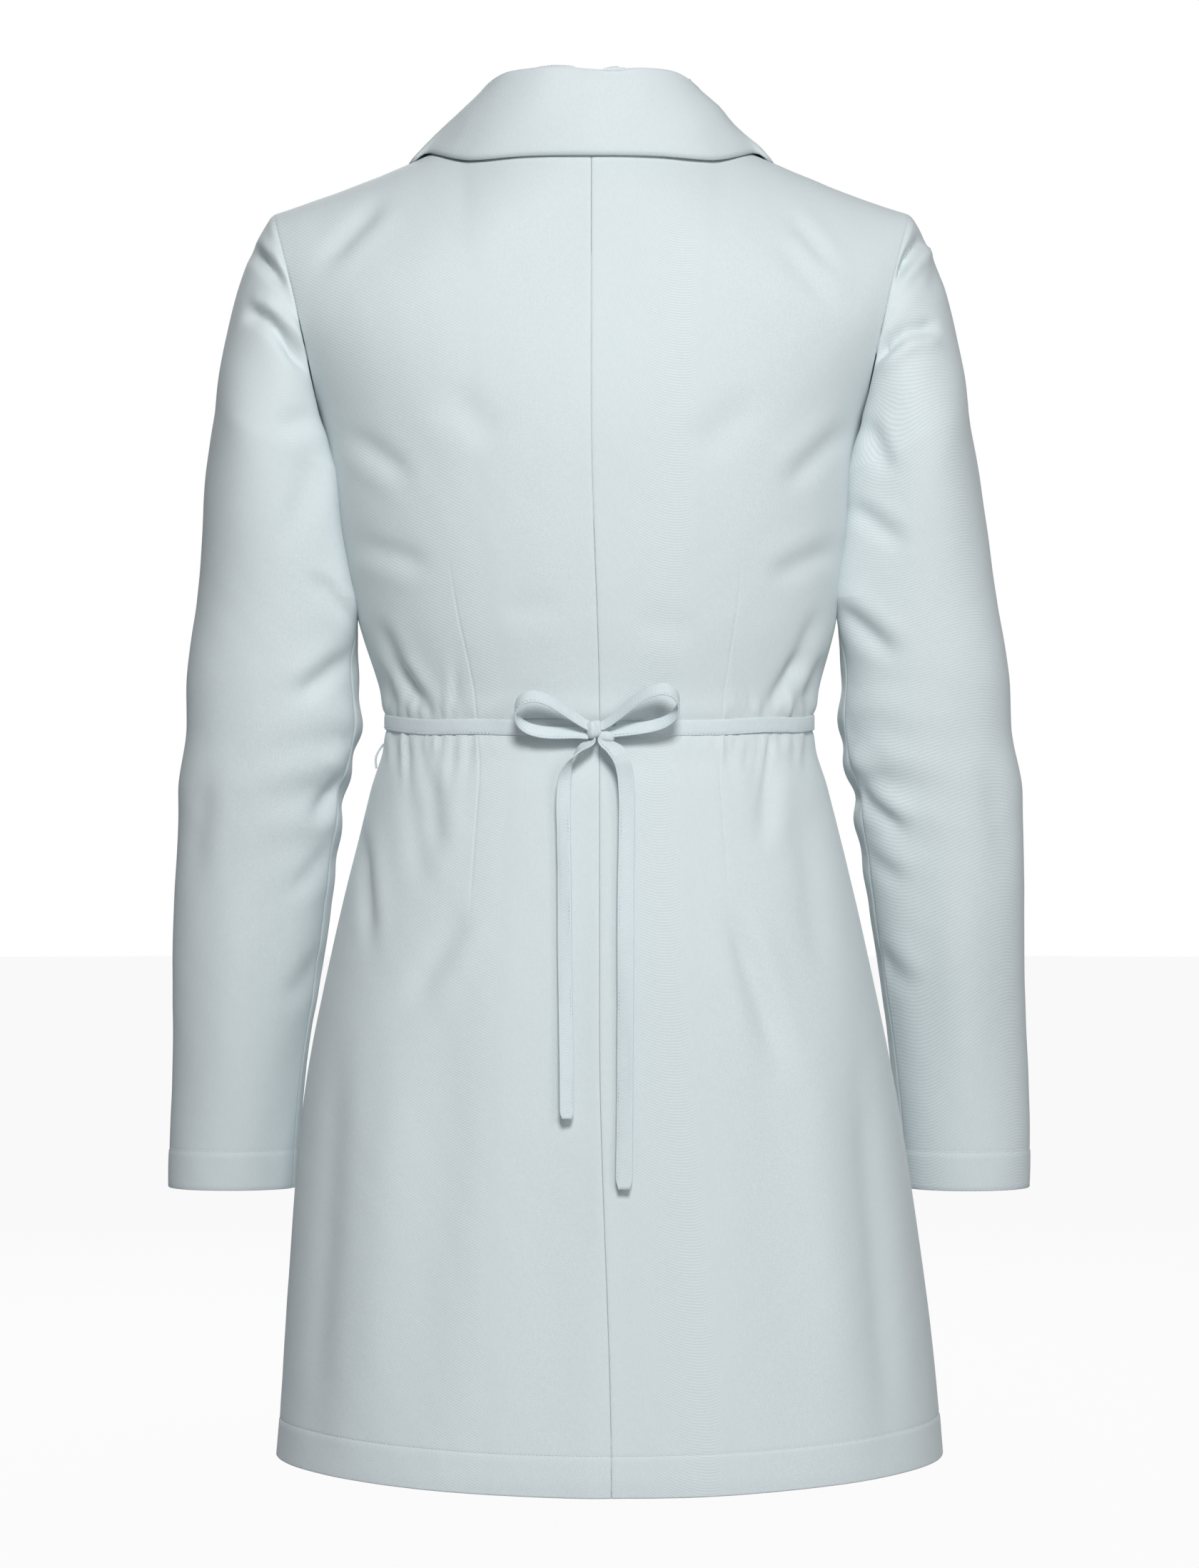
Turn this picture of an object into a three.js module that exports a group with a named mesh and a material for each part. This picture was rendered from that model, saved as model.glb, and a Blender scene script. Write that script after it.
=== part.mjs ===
// A light tailored dress-coat as it hangs when worn: four body panels, set-in sleeves, a
// turned-down collar with lapels, and a narrow sash tied in a bow at the centre of the back.
// Millimetres. +Z is up, the wearer faces -Y, the wearer's left is +X, and the origin is on
// the centre line at the height of the high shoulder points, in line with the side seams.
import * as THREE from 'three';

// ---- Cloth
const CLOTH = 1.5; // a body or sleeve panel with its turned seam allowances
const LAYER = 1.0; // one layer of collar, facing or pocket cloth
const SEAM = 0.3; // gap kept along each seam and between two layers

// ---- Body: half widths, depths behind and in front of the side seams, and drops from the origin
const NECK = { half: 78, backDrop: 18, rise: 0.9 };
const SHOULDER = { half: 199, drop: 49, seamY: -6, round: 95 };
const UNDERARM = { half: 170, drop: 178, back: 110, front: 108 };
const WAIST = { half: 133, drop: 369, back: 90, front: 93 };
const HEM = { half: 207, drop: 822, back: 146, front: 144, dip: 9 };
const BODY_ROUND = 2.2; // exponent of the body's oval sections
const LEAN = { top: 5, hem: -7 }; // sideways drift of the whole body as it hangs

// ---- Front opening
const FRONT = { overlap: 18, breakDrop: 290, lift: 3.8, blendFrom: 26, blendTo: 62 };
const LAPEL = { top: 46, width: 66, lift: 1.1, underEnd: 62 };
const BUTTON = { count: 4, across: 20, thick: 3.4, firstDrop: 318, pitch: 107 };

// ---- Sleeves
const SLEEVE = { elbowDrop: 388, cuffDrop: 661, cutDrop: 194, armholeCurve: 1.35, headFill: 27 };

// ---- Sash, bow and its tails
const SASH = { width: 9.5, thick: 2, backDip: 5 };
const KNOT = { x: 2, half: 9, deep: 6, tall: 8 };

// ---- Mesh steps
const COLUMNS = 9; // across one body panel
const TOP_ROWS = 7; // from the shoulder down to the underarm
const RING = 16; // round a sleeve

const lerp = (a, b, k) => a + (b - a) * k;
const clamp = (k) => Math.min(1, Math.max(0, k));
const smooth = (a, b, k) => {
  const t = clamp((k - a) / (b - a));
  return t * t * (3 - 2 * t);
};

// A smooth value along a list of [position, value, value, ...] stations in rising order.
function along(stations, column) {
  const slope = (i) => {
    const a = stations[Math.max(i - 1, 0)];
    const b = stations[Math.min(i + 1, stations.length - 1)];
    return (b[column] - a[column]) / (b[0] - a[0]);
  };
  return (at) => {
    let i = 0;
    while (i < stations.length - 2 && at > stations[i + 1][0]) i += 1;
    const [a, b] = [stations[i], stations[i + 1]];
    const span = b[0] - a[0];
    const t = (at - a[0]) / span;
    if (t < 0) return a[column] + slope(i) * (at - a[0]);
    if (t > 1) return b[column] + slope(i + 1) * (at - b[0]);
    const [t2, t3] = [t * t, t * t * t];
    return (2 * t3 - 3 * t2 + 1) * a[column] + (t3 - 2 * t2 + t) * span * slope(i)
      + (3 * t2 - 2 * t3) * b[column] + (t3 - t2) * span * slope(i + 1);
  };
}

// ---------------------------------------------------------------- the body's shape
// Between two named levels, each row is [share of the drop, share of the half width, share of
// the back depth, share of the front depth]; shares may pass 1 where the cloth swells.
const BODICE_ROWS = [[0, 0, 0, 0], [0.34, 0.43, 0.55, 0.85], [0.65, 0.73, 0.9, 1.6]];
const SKIRT_ROWS = [
  [0.09, 0.135, 0.143, 0.08], [0.29, 0.432, 0.393, 0.22], [0.51, 0.703, 0.554, 0.38],
  [0.775, 0.892, 0.768, 0.69], [1, 1, 1, 1],
];
const between = (low, high) => ([drop, half, back, front]) => [
  -lerp(low.drop, high.drop, drop), lerp(low.half, high.half, half),
  lerp(low.back, high.back, back), lerp(low.front, high.front, front),
];
const CHEST = { drop: lerp(SHOULDER.drop, UNDERARM.drop, 0.5), half: UNDERARM.half + 33 };
const STATIONS = [
  ...SKIRT_ROWS.toReversed().map(between(WAIST, HEM)),
  ...BODICE_ROWS.map(between(WAIST, UNDERARM)),
  [-UNDERARM.drop, UNDERARM.half, UNDERARM.back, UNDERARM.front],
  [-CHEST.drop, CHEST.half, UNDERARM.back - 10, UNDERARM.front - 26],
  [-SHOULDER.drop, SHOULDER.half + 29, UNDERARM.back - 30, UNDERARM.front - 60],
  [0, SHOULDER.half + 36, UNDERARM.back - 54, UNDERARM.front - 78],
];
const halfWidth = along(STATIONS, 1);
const depth = { back: along(STATIONS, 2), front: along(STATIONS, 3) };
const lean = (z) => LEAN.top * smooth(-WAIST.drop, -UNDERARM.drop, z)
  + LEAN.hem * smooth(-lerp(WAIST.drop, HEM.drop, 0.4), -HEM.drop, z);

// Height of the shoulder seam, which runs on up the neck inside the collar.
function shoulderLine(x) {
  if (x < NECK.half) return NECK.rise * (NECK.half - x);
  const t = (x - NECK.half) / (SHOULDER.half - NECK.half);
  return -SHOULDER.drop * (1.25 * t - 0.25 * t * t);
}

// Depth of the body at a place on its left half: oval in plan, rolled over at the shoulder.
function bodyY(x, z, face) {
  const across = Math.min(Math.abs(x) / halfWidth(z), 1);
  const oval = depth[face](z) * (1 - across ** BODY_ROUND) ** (1 / BODY_ROUND);
  const below = clamp((shoulderLine(Math.abs(x)) - z) / SHOULDER.round);
  const roll = Math.sqrt(1 - (1 - below) ** 2);
  const sign = face === 'back' ? 1 : -1;
  return sign * (oval * roll + 2 * SEAM) + SHOULDER.seamY * (1 - roll);
}

function armholeX(z) {
  const down = clamp((z + SHOULDER.drop) / (SHOULDER.drop - UNDERARM.drop));
  return lerp(UNDERARM.half, SHOULDER.half, (1 - down) ** SLEEVE.armholeCurve);
}

// The front edge: straight below the break, and above it the line that the lapel rolls on.
function frontEdge(z) {
  const t = clamp((z + FRONT.breakDrop) / FRONT.breakDrop);
  return lerp(-FRONT.overlap, NECK.half + 3, t);
}

const topOfBack = (x) => (x > NECK.half ? shoulderLine(x)
  : -NECK.backDrop * (1 - (x / NECK.half) ** 2));

// Levels of the rows under the arm. The sash lies between the two rows beside the waist.
const SASH_ROOM = SASH.width / 2 + SASH.backDip + 1;
const LOWER_LEVELS = [
  0.2, 0.4, 0.6, 0.8].map((k) => -lerp(UNDERARM.drop, WAIST.drop - SASH_ROOM, k)).concat(
  [-(WAIST.drop - SASH_ROOM), -(WAIST.drop + SASH_ROOM)],
  [0.08, 0.18, 0.3, 0.42, 0.55, 0.7, 0.85, 1].map((k) => -lerp(WAIST.drop + SASH_ROOM, HEM.drop, k)),
);
const WAIST_ROW = TOP_ROWS + 5; // the row just above the sash

// Grid of points on the outside of a body panel, from its top edge to the hem.
function bodyGrid(side, face) {
  const rows = TOP_ROWS + LOWER_LEVELS.length;
  const outer = side < 0 && face === 'front'; // the wearer's right front laps over the left
  return Array.from({ length: rows + 1 }, (_, row) => Array.from({ length: COLUMNS + 1 }, (_, c) => {
    const share = Math.sin((c / COLUMNS) * Math.PI / 2);
    const inside = (z) => (face === 'back' ? SEAM : frontEdge(z));
    let x;
    let z;
    if (row <= TOP_ROWS) {
      const down = (row / TOP_ROWS) ** 1.5;
      const edge = armholeX(-lerp(SHOULDER.drop, UNDERARM.drop, down));
      const start = lerp(inside(0), SHOULDER.half, share);
      z = lerp(face === 'back' ? topOfBack(start) : shoulderLine(start), -UNDERARM.drop, down);
      x = lerp(inside(z), edge, share);
    } else {
      const level = LOWER_LEVELS[row - TOP_ROWS - 1];
      const last = row === rows;
      z = last ? level - HEM.dip * (1 - share * share) : level;
      x = lerp(inside(z), halfWidth(z), share);
    }
    const flip = face === 'front' && x < 0 ? -x : x;
    let y = bodyY(flip, z, face);
    if (outer) y -= FRONT.lift * (1 - smooth(FRONT.blendFrom, FRONT.blendTo, x));
    return new THREE.Vector3(side * x + lean(z), y, z);
  }));
}

// ---------------------------------------------------------------- solids from grids
// Direction across the surface at each point of a grid, by the points beside it.
function gridNormals(grid, wrap) {
  const rows = grid.length;
  const columns = grid[0].length;
  const column = (c) => (wrap ? (c + columns) % columns : Math.min(Math.max(c, 0), columns - 1));
  return grid.map((line, r) => line.map((_, c) => {
    const across = grid[r][column(c + 1)].clone().sub(grid[r][column(c - 1)]);
    const down = grid[Math.min(r + 1, rows - 1)][c].clone().sub(grid[Math.max(r - 1, 0)][c]);
    return across.cross(down).normalize();
  }));
}

// A closed solid with the given triangles, turned so that its faces point out.
function solid(points, triangles) {
  let volume = 0;
  for (const [a, b, c] of triangles) {
    volume += points[a].dot(points[b].clone().cross(points[c]));
  }
  const index = volume > 0 ? triangles.flat() : triangles.flatMap(([a, b, c]) => [a, c, b]);
  const geometry = new THREE.BufferGeometry().setFromPoints(points);
  geometry.setIndex(index);
  geometry.computeVertexNormals();
  return geometry;
}

// The solid between two offsets of a grid; wrap joins its last column to its first.
function shell(grid, near, far, { wrap = false, normals = gridNormals(grid, wrap) } = {}) {
  const [rows, columns] = [grid.length, grid[0].length];
  const half = rows * columns;
  const layer = (offset) => grid.flatMap((line, r) => line.map(
    (point, c) => point.clone().addScaledVector(normals[r][c], offset),
  ));
  const points = [...layer(far), ...layer(near)];
  const at = (r, c) => r * columns + (c % columns);
  const triangles = [];
  const quad = (a, b, c, d) => triangles.push([a, b, c], [a, c, d]);
  const spans = wrap ? columns : columns - 1;
  for (let r = 0; r < rows - 1; r += 1) {
    for (let c = 0; c < spans; c += 1) {
      const [p, q, s, t] = [at(r, c), at(r, c + 1), at(r + 1, c + 1), at(r + 1, c)];
      quad(p, q, s, t);
      triangles.push([s + half, q + half, p + half], [t + half, s + half, p + half]);
    }
  }
  const rim = (a, b) => quad(b, a, a + half, b + half);
  for (let c = 0; c < spans; c += 1) {
    rim(at(0, c), at(0, c + 1));
    rim(at(rows - 1, c + 1), at(rows - 1, c));
  }
  if (!wrap) {
    for (let r = 0; r < rows - 1; r += 1) {
      rim(at(r + 1, 0), at(r, 0));
      rim(at(r, columns - 1), at(r + 1, columns - 1));
    }
  }
  return solid(points, triangles);
}

// A flat tape along a route; across gives the direction of its width at each point.
function tape(route, width, thick, across) {
  const sections = route.map((point, i) => {
    const before = route[Math.max(i - 1, 0)];
    const after = route[Math.min(i + 1, route.length - 1)];
    const along_ = after.clone().sub(before).normalize();
    const wide = across(i / (route.length - 1));
    wide.addScaledVector(along_, -wide.dot(along_)).normalize();
    const out = along_.clone().cross(wide);
    return [[1, 1], [-1, 1], [-1, -1], [1, -1]].map(([a, b]) => point.clone()
      .addScaledVector(wide, a * width / 2).addScaledVector(out, b * thick / 2));
  });
  const points = sections.flat();
  const triangles = [];
  for (let i = 0; i < sections.length - 1; i += 1) {
    for (let k = 0; k < 4; k += 1) {
      const [a, b] = [i * 4 + k, i * 4 + ((k + 1) % 4)];
      triangles.push([a, b, b + 4], [a, b + 4, a + 4]);
    }
  }
  const last = points.length - 4;
  triangles.push([2, 1, 0], [3, 2, 0], [last, last + 1, last + 2], [last, last + 2, last + 3]);
  return solid(points, triangles);
}

const vectors = (list) => list.map(([x, y, z]) => new THREE.Vector3(x, y, z));
const curve = (points, steps) => new THREE.CatmullRomCurve3(points).getPoints(steps);

// ---------------------------------------------------------------- the model
const coat = new THREE.Group();
const finish = (color, roughness) => new THREE.MeshStandardMaterial({ color, roughness, metalness: 0 });
const CLOTH_FINISH = finish(0xd3dfe5, 0.85);
const POCKET_FINISH = finish(0xdfe5e8, 0.8);
const BUTTON_FINISH = finish(0xc6d3da, 0.35);
function add(name, geometry, material = CLOTH_FINISH) {
  const mesh = new THREE.Mesh(geometry, material);
  mesh.name = name;
  coat.add(mesh);
  return mesh;
}
const SIDES = [['left', 1], ['right', -1]];
const rowsOf = (grid, from, to) => grid.slice(from, to + 1);
const columnsOf = (grid, from, to) => grid.map((line) => line.slice(from, to + 1));

// Body panels, and what lies against their insides
const grids = {};
for (const [hand, side] of SIDES) {
  for (const face of ['back', 'front']) {
    const grid = bodyGrid(side, face);
    const normals = gridNormals(grid, false);
    const outward = face === 'back' ? side : -side; // columns run from the centre to the side
    const turned = normals.map((line) => line.map((n) => n.multiplyScalar(outward)));
    grids[`${face}_${hand}`] = { grid, normals: turned };
    add(`${face}_panel_${hand}`, shell(grid, -CLOTH, 0, { normals: turned }));
  }
}
function lining(name, panel, rows, columns, far, thick, material) {
  const { grid, normals } = grids[panel];
  const cut = (list) => columnsOf(rowsOf(list, ...rows), ...columns);
  add(name, shell(cut(grid), far - thick, far, { normals: cut(normals) }), material);
}
const LAST_ROW = TOP_ROWS + LOWER_LEVELS.length;
for (const [hand] of SIDES) {
  lining(`front_facing_${hand}`, `front_${hand}`, [TOP_ROWS + 3, LAST_ROW - 1], [0, 3], -CLOTH - SEAM, LAYER);
  lining(`pocket_bag_${hand}`, `front_${hand}`, [WAIST_ROW + 2, WAIST_ROW + 6], [4, COLUMNS - 1],
    -CLOTH - SEAM, 2 * LAYER, POCKET_FINISH);
}


// Back neck facing and the loop that hangs the coat on a hook
const FACING_COLUMNS = 4;
const backRows = (hand) => rowsOf(columnsOf(grids[`back_${hand}`].grid, 0, FACING_COLUMNS), 0, 3);
const backTurned = (hand) => rowsOf(columnsOf(grids[`back_${hand}`].normals, 0, FACING_COLUMNS), 0, 3);
const acrossNeck = (pick) => pick('right').map((line, r) => [
  ...line.toReversed(), ...pick('left')[r],
]);
add('back_neck_facing', shell(acrossNeck(backRows), -CLOTH - SEAM - LAYER, -CLOTH - SEAM,
  { normals: acrossNeck(backTurned) }));
const HANGER = { half: 26, fall: 22, width: 6, thick: 1.2 };
const hangerY = (x, z) => bodyY(Math.abs(x), z, 'back') - CLOTH - LAYER - 2 * SEAM - HANGER.thick;
add('hanger_loop', tape(curve(vectors([-1, -0.9, -0.5, 0, 0.5, 0.9, 1].map((k) => {
  const z = -NECK.backDrop - 6 - HANGER.fall * (1 - k * k);
  return [k * HANGER.half + LEAN.top, hangerY(k * HANGER.half, z) - 3.9, z];
})), 16), HANGER.width, HANGER.thick, () => new THREE.Vector3(0, 0, 1)));

// ---------------------------------------------------------------- sleeves
// Rings below the armhole: [drop of the outer edge, drop of the inner edge, width, clearance to
// the body beside it, distance of the middle in front of the side seam, half depth].
const CUT = 0; // index of the ring where the sleeve head ends
const ELBOW = 4;
const sleeveDrop = (k) => lerp(SLEEVE.cutDrop, SLEEVE.elbowDrop, k);
const cuffDrop = (k) => lerp(SLEEVE.elbowDrop, SLEEVE.cuffDrop, k);
const RINGS = [
  [sleeveDrop(-0.11), sleeveDrop(0.11), 70, 1.6, 2, 60],
  [sleeveDrop(0.17), sleeveDrop(0.29), 82, 2, 4, 57],
  [sleeveDrop(0.5), sleeveDrop(0.55), 98, 2.5, 8, 52],
  [sleeveDrop(0.78), sleeveDrop(0.79), 107.5, 14, 12, 49],
  [sleeveDrop(1), sleeveDrop(1), 109, 17, 17, 47],
  [cuffDrop(0.2), cuffDrop(0.2), 102, 13, 27, 45],
  [cuffDrop(0.46), cuffDrop(0.46), 95, 6.5, 41, 42.5],
  [cuffDrop(0.73), cuffDrop(0.73), 86, 3, 55, 39.5],
  [cuffDrop(1), cuffDrop(1), 81, 0, 67, 38],
];
const CUFF = RINGS.length - 1;
const ringValue = RINGS[0].map((_, k) => along(RINGS.map((ring, i) => [i, ...ring]), k + 1));
const sleeveLean = (z) => Math.max(lean(z), 0);

// A ring of the left sleeve at a place along it, counted from the top round the back.
function sleeveRing(at) {
  const [outerDrop, innerDrop, width, clear, ahead, halfDepth] = ringValue.map((value) => value(at));
  const inner = halfWidth(-innerDrop) + clear;
  return Array.from({ length: RING }, (_, i) => {
    const turn = (i / RING) * 2 * Math.PI;
    const share = (1 - Math.cos(turn)) / 2;
    const z = -lerp(outerDrop, innerDrop, share);
    return new THREE.Vector3(lerp(inner + width, inner, share) + sleeveLean(z),
      halfDepth * Math.sin(turn) - ahead, z);
  });
}
// The same ring on the edge of the armhole
function armholeRing() {
  return Array.from({ length: RING }, (_, i) => {
    const turn = (i / RING) * 2 * Math.PI;
    const z = -lerp(SHOULDER.drop, UNDERARM.drop, (1 - Math.cos(turn)) / 2);
    const x = armholeX(z);
    const y = i % (RING / 2) === 0 ? SHOULDER.seamY * (i === 0 ? 1 : 0)
      : bodyY(x, z, i < RING / 2 ? 'back' : 'front');
    return new THREE.Vector3(x + sleeveLean(z) + 4 * SEAM, y, z);
  });
}
function headRows(steps) {
  const [start, end] = [armholeRing(), sleeveRing(CUT)];
  return Array.from({ length: steps + 1 }, (_, row) => {
    const t = (row / steps) * (1 - 2 * SEAM / 70);
    return start.map((from, i) => {
      const top = (1 + Math.cos((i / RING) * 2 * Math.PI)) / 2;
      const pull = new THREE.Vector3(SLEEVE.headFill * top, 0, lerp(-18, -36, top)).add(from);
      pull.y = 1.08 * lerp(from.y, end[i].y, 0.5);
      return from.clone().multiplyScalar((1 - t) ** 2)
        .addScaledVector(pull, 2 * t * (1 - t)).addScaledVector(end[i], t * t);
    });
  });
}
const sleeveRows = (from, to, steps) => Array.from({ length: steps + 1 }, (_, row) => sleeveRing(
  lerp(from, to, row / steps),
));
const mirrored = (grid) => grid.map((line) => line.map((p) => {
  const middle = sleeveLean(p.z);
  return new THREE.Vector3(2 * middle - p.x, p.y, p.z);
}));
for (const [hand, side] of SIDES) {
  const parts = {
    head: headRows(4),
    upper: sleeveRows(CUT, ELBOW - 0.006, 7),
    lower: sleeveRows(ELBOW, CUFF, 8),
  };
  for (const [name, rows] of Object.entries(parts)) {
    const grid = side > 0 ? rows : mirrored(rows);
    const normals = gridNormals(grid, true);
    const out = normals.map((line) => line.map((n) => n.multiplyScalar(-side)));
    add(`sleeve_${name}_${hand}`, shell(grid, -CLOTH, 0, { wrap: true, normals: out }));
  }
}

// ---------------------------------------------------------------- collar and lapels
// Collar sections from the centre of the back round to the front: [x of the neck seam, height of
// it, x of the roll, depth of it, height of it, x of the outer edge, height of it].
const COLLAR_SECTIONS = [
  [0, -NECK.backDrop + 3, 0, 52, 34, 0, -22, 1], [30, -NECK.backDrop + 6, 30, 47, 35, 38, -22, 1],
  [60, -6, 54, 31, 34, 78, -22, 1], [NECK.half, 6, 70, 8, 24, 108, -12, 0.5],
  [NECK.half - 1, -8, 73, -14, 6, 114, -22, -1], [70, -24, 66, -36, -14, 108, -38, -1],
  [63, -38, 60, -46, -32, 100, -52, -1],
];
const COLLAR = { steps: 12, lift: 3.6, rollRadius: 2.6 };
const collarValue = COLLAR_SECTIONS[0].map((_, k) => along(COLLAR_SECTIONS.map(
  (section, i) => [i, ...section],
), k + 1));
// A point lifted square off the body, on its back or its front.
function onBody(x, z, face, lift) {
  const low = Math.min(z, shoulderLine(x) - 2);
  const slopeX = (bodyY(x + 1, low, face) - bodyY(x - 1, low, face)) / 2;
  const slopeZ = (bodyY(x, low + 1, face) - bodyY(x, low - 1, face)) / 2;
  const out = new THREE.Vector3(-slopeX, 1, -slopeZ).normalize();
  const away = face === 'back' ? lift : -lift;
  return new THREE.Vector3(x, bodyY(x, low, face), low).addScaledVector(out, away);
}
function collarSection(at) {
  const [neckX, neckZ, rollX, rollY, rollZ, edgeX, edgeZ, side] = collarValue.map((value) => value(at));
  const blend = clamp((1 - side) / 2);
  const lay = (x, z, lift) => onBody(x, z, 'back', lift).lerp(onBody(x, z, 'front', lift), blend);
  const neck = lay(neckX, neckZ, COLLAR.lift);
  const roll = new THREE.Vector3(rollX, rollY, rollZ);
  const edge = lay(edgeX, edgeZ, COLLAR.lift + 2);
  const out = edge.clone().sub(neck).setZ(0).normalize().multiplyScalar(COLLAR.rollRadius);
  const low = new THREE.Vector3(0, 0, -COLLAR.rollRadius);
  const inner = roll.clone().sub(out).add(low);
  const outer = roll.clone().add(out).add(low);
  return curve([neck, neck.clone().lerp(inner, 0.6), inner, roll, outer,
    outer.clone().lerp(edge, 0.5).addScaledVector(out, 0.8), edge], 14);
}
function collarGrid() {
  const last = COLLAR_SECTIONS.length - 1;
  const half = Array.from({ length: COLLAR.steps + 1 }, (_, i) => collarSection((i / COLLAR.steps) * last));
  const other = half.slice(1).toReversed().map((line) => line.map((p) => new THREE.Vector3(-p.x, p.y, p.z)));
  return [...other, ...half].map((line) => line.map((p) => p.add(new THREE.Vector3(LEAN.top, 0, 0))));
}
const collar = collarGrid();
const collarOut = gridNormals(collar, false).map((line) => line.map((n) => n.negate()));
add('upper_collar', shell(collar, SEAM / 2, SEAM / 2 + LAYER, { normals: collarOut }));
add('under_collar', shell(collar, -SEAM / 2 - LAYER, -SEAM / 2, { normals: collarOut }));

// A lapel lies on its front panel, from the roll line out to its notched edge.
function lapelGrid(side) {
  return Array.from({ length: 9 }, (_, row) => {
    const down = row / 8;
    const z = -lerp(LAPEL.top + 6, FRONT.breakDrop - (side > 0 ? LAPEL.underEnd : 4), down);
    const width = LAPEL.width * Math.min(0.62 + 3.2 * down, 1) * (1 - down ** 1.6) + 3;
    return Array.from({ length: 5 }, (__, c) => {
      const x = frontEdge(z) + 1 + width * (c / 4);
      const y = bodyY(Math.abs(x), z - 14 * (c / 4) * (1 - down), 'front') - LAPEL.lift - CLOTH;
      const lap = side < 0 ? FRONT.lift * (1 - smooth(FRONT.blendFrom, FRONT.blendTo, x)) : 0;
      const fall = 14 * (c / 4) * (1 - down);
      return new THREE.Vector3(side * x + lean(z), y - lap, z - fall);
    });
  });
}
for (const [hand, side] of SIDES) {
  const grid = lapelGrid(side);
  const normals = gridNormals(grid, false).map((line) => line.map((n) => n.multiplyScalar(-side)));
  add(`lapel_${hand}`, shell(grid, -CLOTH, 0, { normals }));
}

// ---------------------------------------------------------------- buttons down the right front
for (let i = 0; i < BUTTON.count; i += 1) {
  const z = -(BUTTON.firstDrop + i * BUTTON.pitch);
  const disc = new THREE.LatheGeometry(vectors([
    [0, 0, 0], [BUTTON.across / 2 - 1, 0, 0], [BUTTON.across / 2, 1, 0],
    [BUTTON.across / 2, BUTTON.thick - 1, 0], [BUTTON.across / 2 - 1.4, BUTTON.thick, 0],
    [BUTTON.across / 2 - 2.6, BUTTON.thick - 0.8, 0], [0, BUTTON.thick - 0.8, 0],
  ]).map((p) => new THREE.Vector2(p.x, p.y)), 20);
  const [above, below] = [bodyY(0, z + 10, 'front'), bodyY(0, z - 10, 'front')];
  const button = add(`button_${i + 1}`, disc, BUTTON_FINISH);
  button.rotation.x = Math.atan2(above - below, -20);
  button.position.set(lean(z), bodyY(0, z, 'front') - FRONT.lift - 2 * SEAM, z);
}

// ---------------------------------------------------------------- sash, bow and carrier
// The sash lies on the two rows beside the waist, from the knot round the front and back to it.
function sashGrid() {
  const row = (name, r) => grids[name].grid[r];
  const line = (r) => {
    const onColumn = (name, at) => {
      const c = Math.floor(at);
      return row(name, r)[c].clone().lerp(row(name, r)[Math.min(c + 1, COLUMNS)], at - c);
    };
    const reach = (name, want) => {
      const [a, b] = [row(name, r)[0].x, row(name, r)[1].x];
      return (want - a) / (b - a);
    };
    const count = (from, to) => Array.from({ length: to - from + 1 }, (_, i) => from + i);
    const edge = KNOT.half + SEAM;
    return [
      ...[reach('back_left', KNOT.x + edge), ...count(1, COLUMNS)].map((c) => onColumn('back_left', c)),
      ...count(3, COLUMNS - 1).toReversed().map((c) => onColumn('front_left', c)),
      ...count(0, COLUMNS - 1).map((c) => onColumn('front_right', c)),
      ...[...count(1, COLUMNS).toReversed(), reach('back_right', KNOT.x - edge)]
        .map((c) => onColumn('back_right', c)),
    ];
  };
  const [upper, lower] = [line(WAIST_ROW), line(WAIST_ROW + 1)];
  const height = (k, p) => {
    const middle = -WAIST.drop + SASH.backDip * (p.y < 0 ? 0.6 : 0.6 - p.y / WAIST.back);
    return middle + SASH.width * (0.5 - k);
  };
  return [0, 1].map((k) => upper.map((p, c) => {
    const share = (height(k, p) - p.z) / (lower[c].z - p.z);
    return p.clone().lerp(lower[c], share);
  }));
}
const sash = sashGrid();
const sashOut = gridNormals(sash, false);
add('waist_sash', shell(sash, SEAM, SEAM + SASH.thick, { normals: sashOut }));

const seat = Math.max(...[0, 1].map((k) => grids.back_left.grid[WAIST_ROW + k][0].y));
const knotY = seat + KNOT.deep + SEAM;
const knotZ = -WAIST.drop - 0.4 * SASH.backDip;
const knot = new THREE.SphereGeometry(1, 16, 10);
knot.scale(KNOT.half, KNOT.deep, KNOT.tall);
add('bow_knot', knot).position.set(KNOT.x, knotY, knotZ);

// Bow loops: a hairpin of sash each, its width tilted back so that its upper face shows.
const LOOPS = {
  left: [[11.3, -370], [22, -373], [36, -369], [46, -360], [50.5, -353], [47, -348.6], [36, -349],
    [24, -355.5], [10.6, -366]],
  right: [[-7, -371], [-20, -374], [-34, -368], [-44, -357], [-48, -347.5], [-43.5, -342.5],
    [-33, -346], [-21, -355], [-6.8, -366]],
};
for (const [hand, route] of Object.entries(LOOPS)) {
  const points = route.map(([x, z]) => [x, knotY + 1, z]);
  add(`bow_loop_${hand}`, tape(curve(vectors(points), 24), SASH.width, SASH.thick * 0.8,
    () => new THREE.Vector3(0, 0.72, -0.69)));
}

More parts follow.
